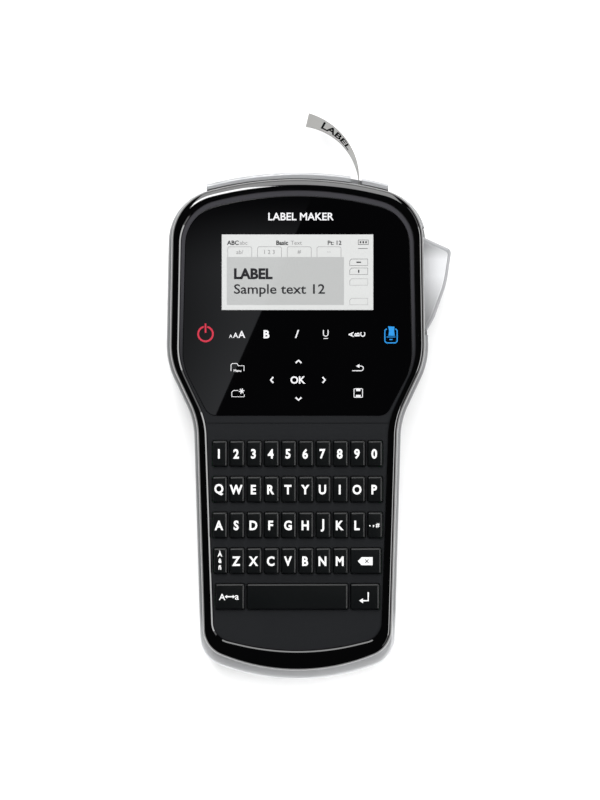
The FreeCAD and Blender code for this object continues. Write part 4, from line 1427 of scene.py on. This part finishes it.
@dataclass
class Studio:
    """Pale floor, soft lights and a camera straight over the machine."""

    view_height: float = 0.32            # what the picture's long side takes in
    lens: float = 250.0
    sensor: float = 36.0
    aim_offset: Point = (1.0 * MM, 10.4 * MM)
    floor_size: float = 12.0
    glare_height: float = 2.6
    glare_light: Colour = (0.84, 0.87, 0.92)
    world_tone: Colour = (0.02, 0.0204, 0.021)

    GLARE: ClassVar[list[Point]] = [(5.0, 90.0), (5.6, 99.0), (-60.0, 99.0), (-60.0, 0.0), (-34.7, 0.0)]
    SOFTBOXES: ClassVar[list[Softbox]] = [
        Softbox("overhead", 90, 12, 2.2, (1.6, 1.0), 7.2, False),
        Softbox("fill_left", 200, 50, 2.0, (1.0, 1.0), 4.0, False),
        Softbox("fill_right", 340, 50, 2.0, (1.0, 1.0), 4.0, False),
        Softbox("fill_foot", 270, 62, 2.0, (1.6, 0.8), 4.1, False),
        Softbox("right", 0, 56, 1.8, (1.1, 0.45), 4.5),
        Softbox("right_wide", 0, 56, 1.85, (3.0, 0.5), 1.3),
        Softbox("upper_left", 112, 36, 1.9, (0.6, 0.5), 13.0),
        Softbox("back_wall", 90, 60, 1.9, (1.8, 1.6), 3.2),
    ]

    def floor(self) -> None:
        """White sweep that the machine lies on."""
        deselect()
        bpy.ops.mesh.primitive_plane_add(size=self.floor_size)
        ground = bpy.context.object
        ground.name = "floor"
        recipe = Recipe("floor_white")
        tone = recipe.mix((0.90, 0.90, 0.90), (0.93, 0.93, 0.93), recipe.noise(3, 2))
        recipe.surface(Base_Color=tone, Roughness=0.6, Specular_IOR_Level=0.2)
        dress(ground, recipe.material)

    def camera(self, face: float) -> bpy.types.Object:
        """Camera that looks straight down on the face.

        Args:
            face: Z of the window.

        Returns:
            The camera.
        """
        data = bpy.data.cameras.new("camera")
        data.lens = self.lens
        data.sensor_width = self.sensor
        data.clip_start = 0.1
        data.clip_end = 20.0
        eye = put("camera", data)
        eye.location = (*self.aim_offset, face + self.view_height * self.lens / self.sensor)
        bpy.context.scene.camera = eye
        return eye

    def glare(self, eye: Vector, face: float) -> None:
        """Dim screen over the machine, whose mirror image ends on a slant across the window.

        Args:
            eye: place of the camera.
            face: level of the window.
        """
        stretch = (self.glare_height - face) / (eye.z - face)
        seen = []
        for x, y in self.GLARE:
            point = Vector((x * MM, y * MM))
            seen.append((*(point + (point - eye.xy) * stretch), self.glare_height))
        mesh = bpy.data.meshes.new("screen")
        mesh.from_pydata(seen, [], [tuple(range(len(seen)))])
        screen = put("screen", mesh)
        recipe = Recipe("screen_light")
        (_, right, upper_left, lower_left, _) = seen
        along = (recipe.place(1) - lower_left[1]) / (right[1] - lower_left[1])
        across = (recipe.place(0) - upper_left[0]) / (right[0] - upper_left[0])
        fade = (1.0 - along.ramp(0.0, 0.45) * 0.35) * (1.0 - along.ramp(0.6, 0.93) * 0.94)
        glow = fade * (across.ramp(0.0, 0.7) * 0.65 + 0.35)
        light = recipe.mix((0.0, 0.0, 0.0), self.glare_light, glow)
        recipe.surface(Base_Color=(0, 0, 0), Roughness=1.0, Specular_IOR_Level=0.0, Emission_Color=light,
                       Emission_Strength=1.0)
        dress(screen, recipe.material)

    def build(self) -> None:
        """Set the stage."""
        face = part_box("front_panel")[1].z
        aim = Vector((*self.aim_offset, face))
        self.floor()
        eye = self.camera(face)
        for box in self.SOFTBOXES:
            box.build(aim)
        self.glare(eye.location, face)
        world = bpy.data.worlds.new("studio")
        world.use_nodes = True
        world.node_tree.nodes["Background"].inputs["Color"].default_value = (*self.world_tone, 1.0)
        bpy.context.scene.world = world
        bpy.context.scene.view_settings.view_transform = "Standard"


# ---------------------------------------------------------------- frame nodes


@dataclass
class Casing:
    """Pieces whose shapes stay as the frame has them, and get their finishes."""

    palette: Palette

    FINISHES: ClassVar[dict[str, str]] = {
        "keyboard_deck": "charcoal", "front_panel": "panel_black", "display_module": "display",
        "key_mat": "silicone", "main_board": "board", "rear_shell": "silver", "case_screws": "steel",
        "cassette_door": "silver_cap", "battery_cover": "silver", "battery_pack": "pack",
        "tape_cassette": "cassette", "feed_roller": "roller", "motor_pinion": "steel",
        "print_mechanism": "steel", "cutter_lever": "lever_edge_painted_shade", "cutter_blade": "steel",
    }

    def build(self) -> None:
        """Paint each node."""
        for node, finish in self.FINISHES.items():
            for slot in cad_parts[node].material_slots:
                slot.material = self.palette[finish]
            log.info("%s: finished in %s", node, finish)


def main() -> None:
    """Build the machine's looks and the stage."""
    logging.basicConfig(level=logging.INFO, format="%(message)s")
    palette = Palette()
    for assembly in (Casing, Bezel, LeverFace, Keyboard, WindowPanel, LabelTape):
        assembly(palette).build()
    Studio().build()


if __name__ == "__main__":
    main()
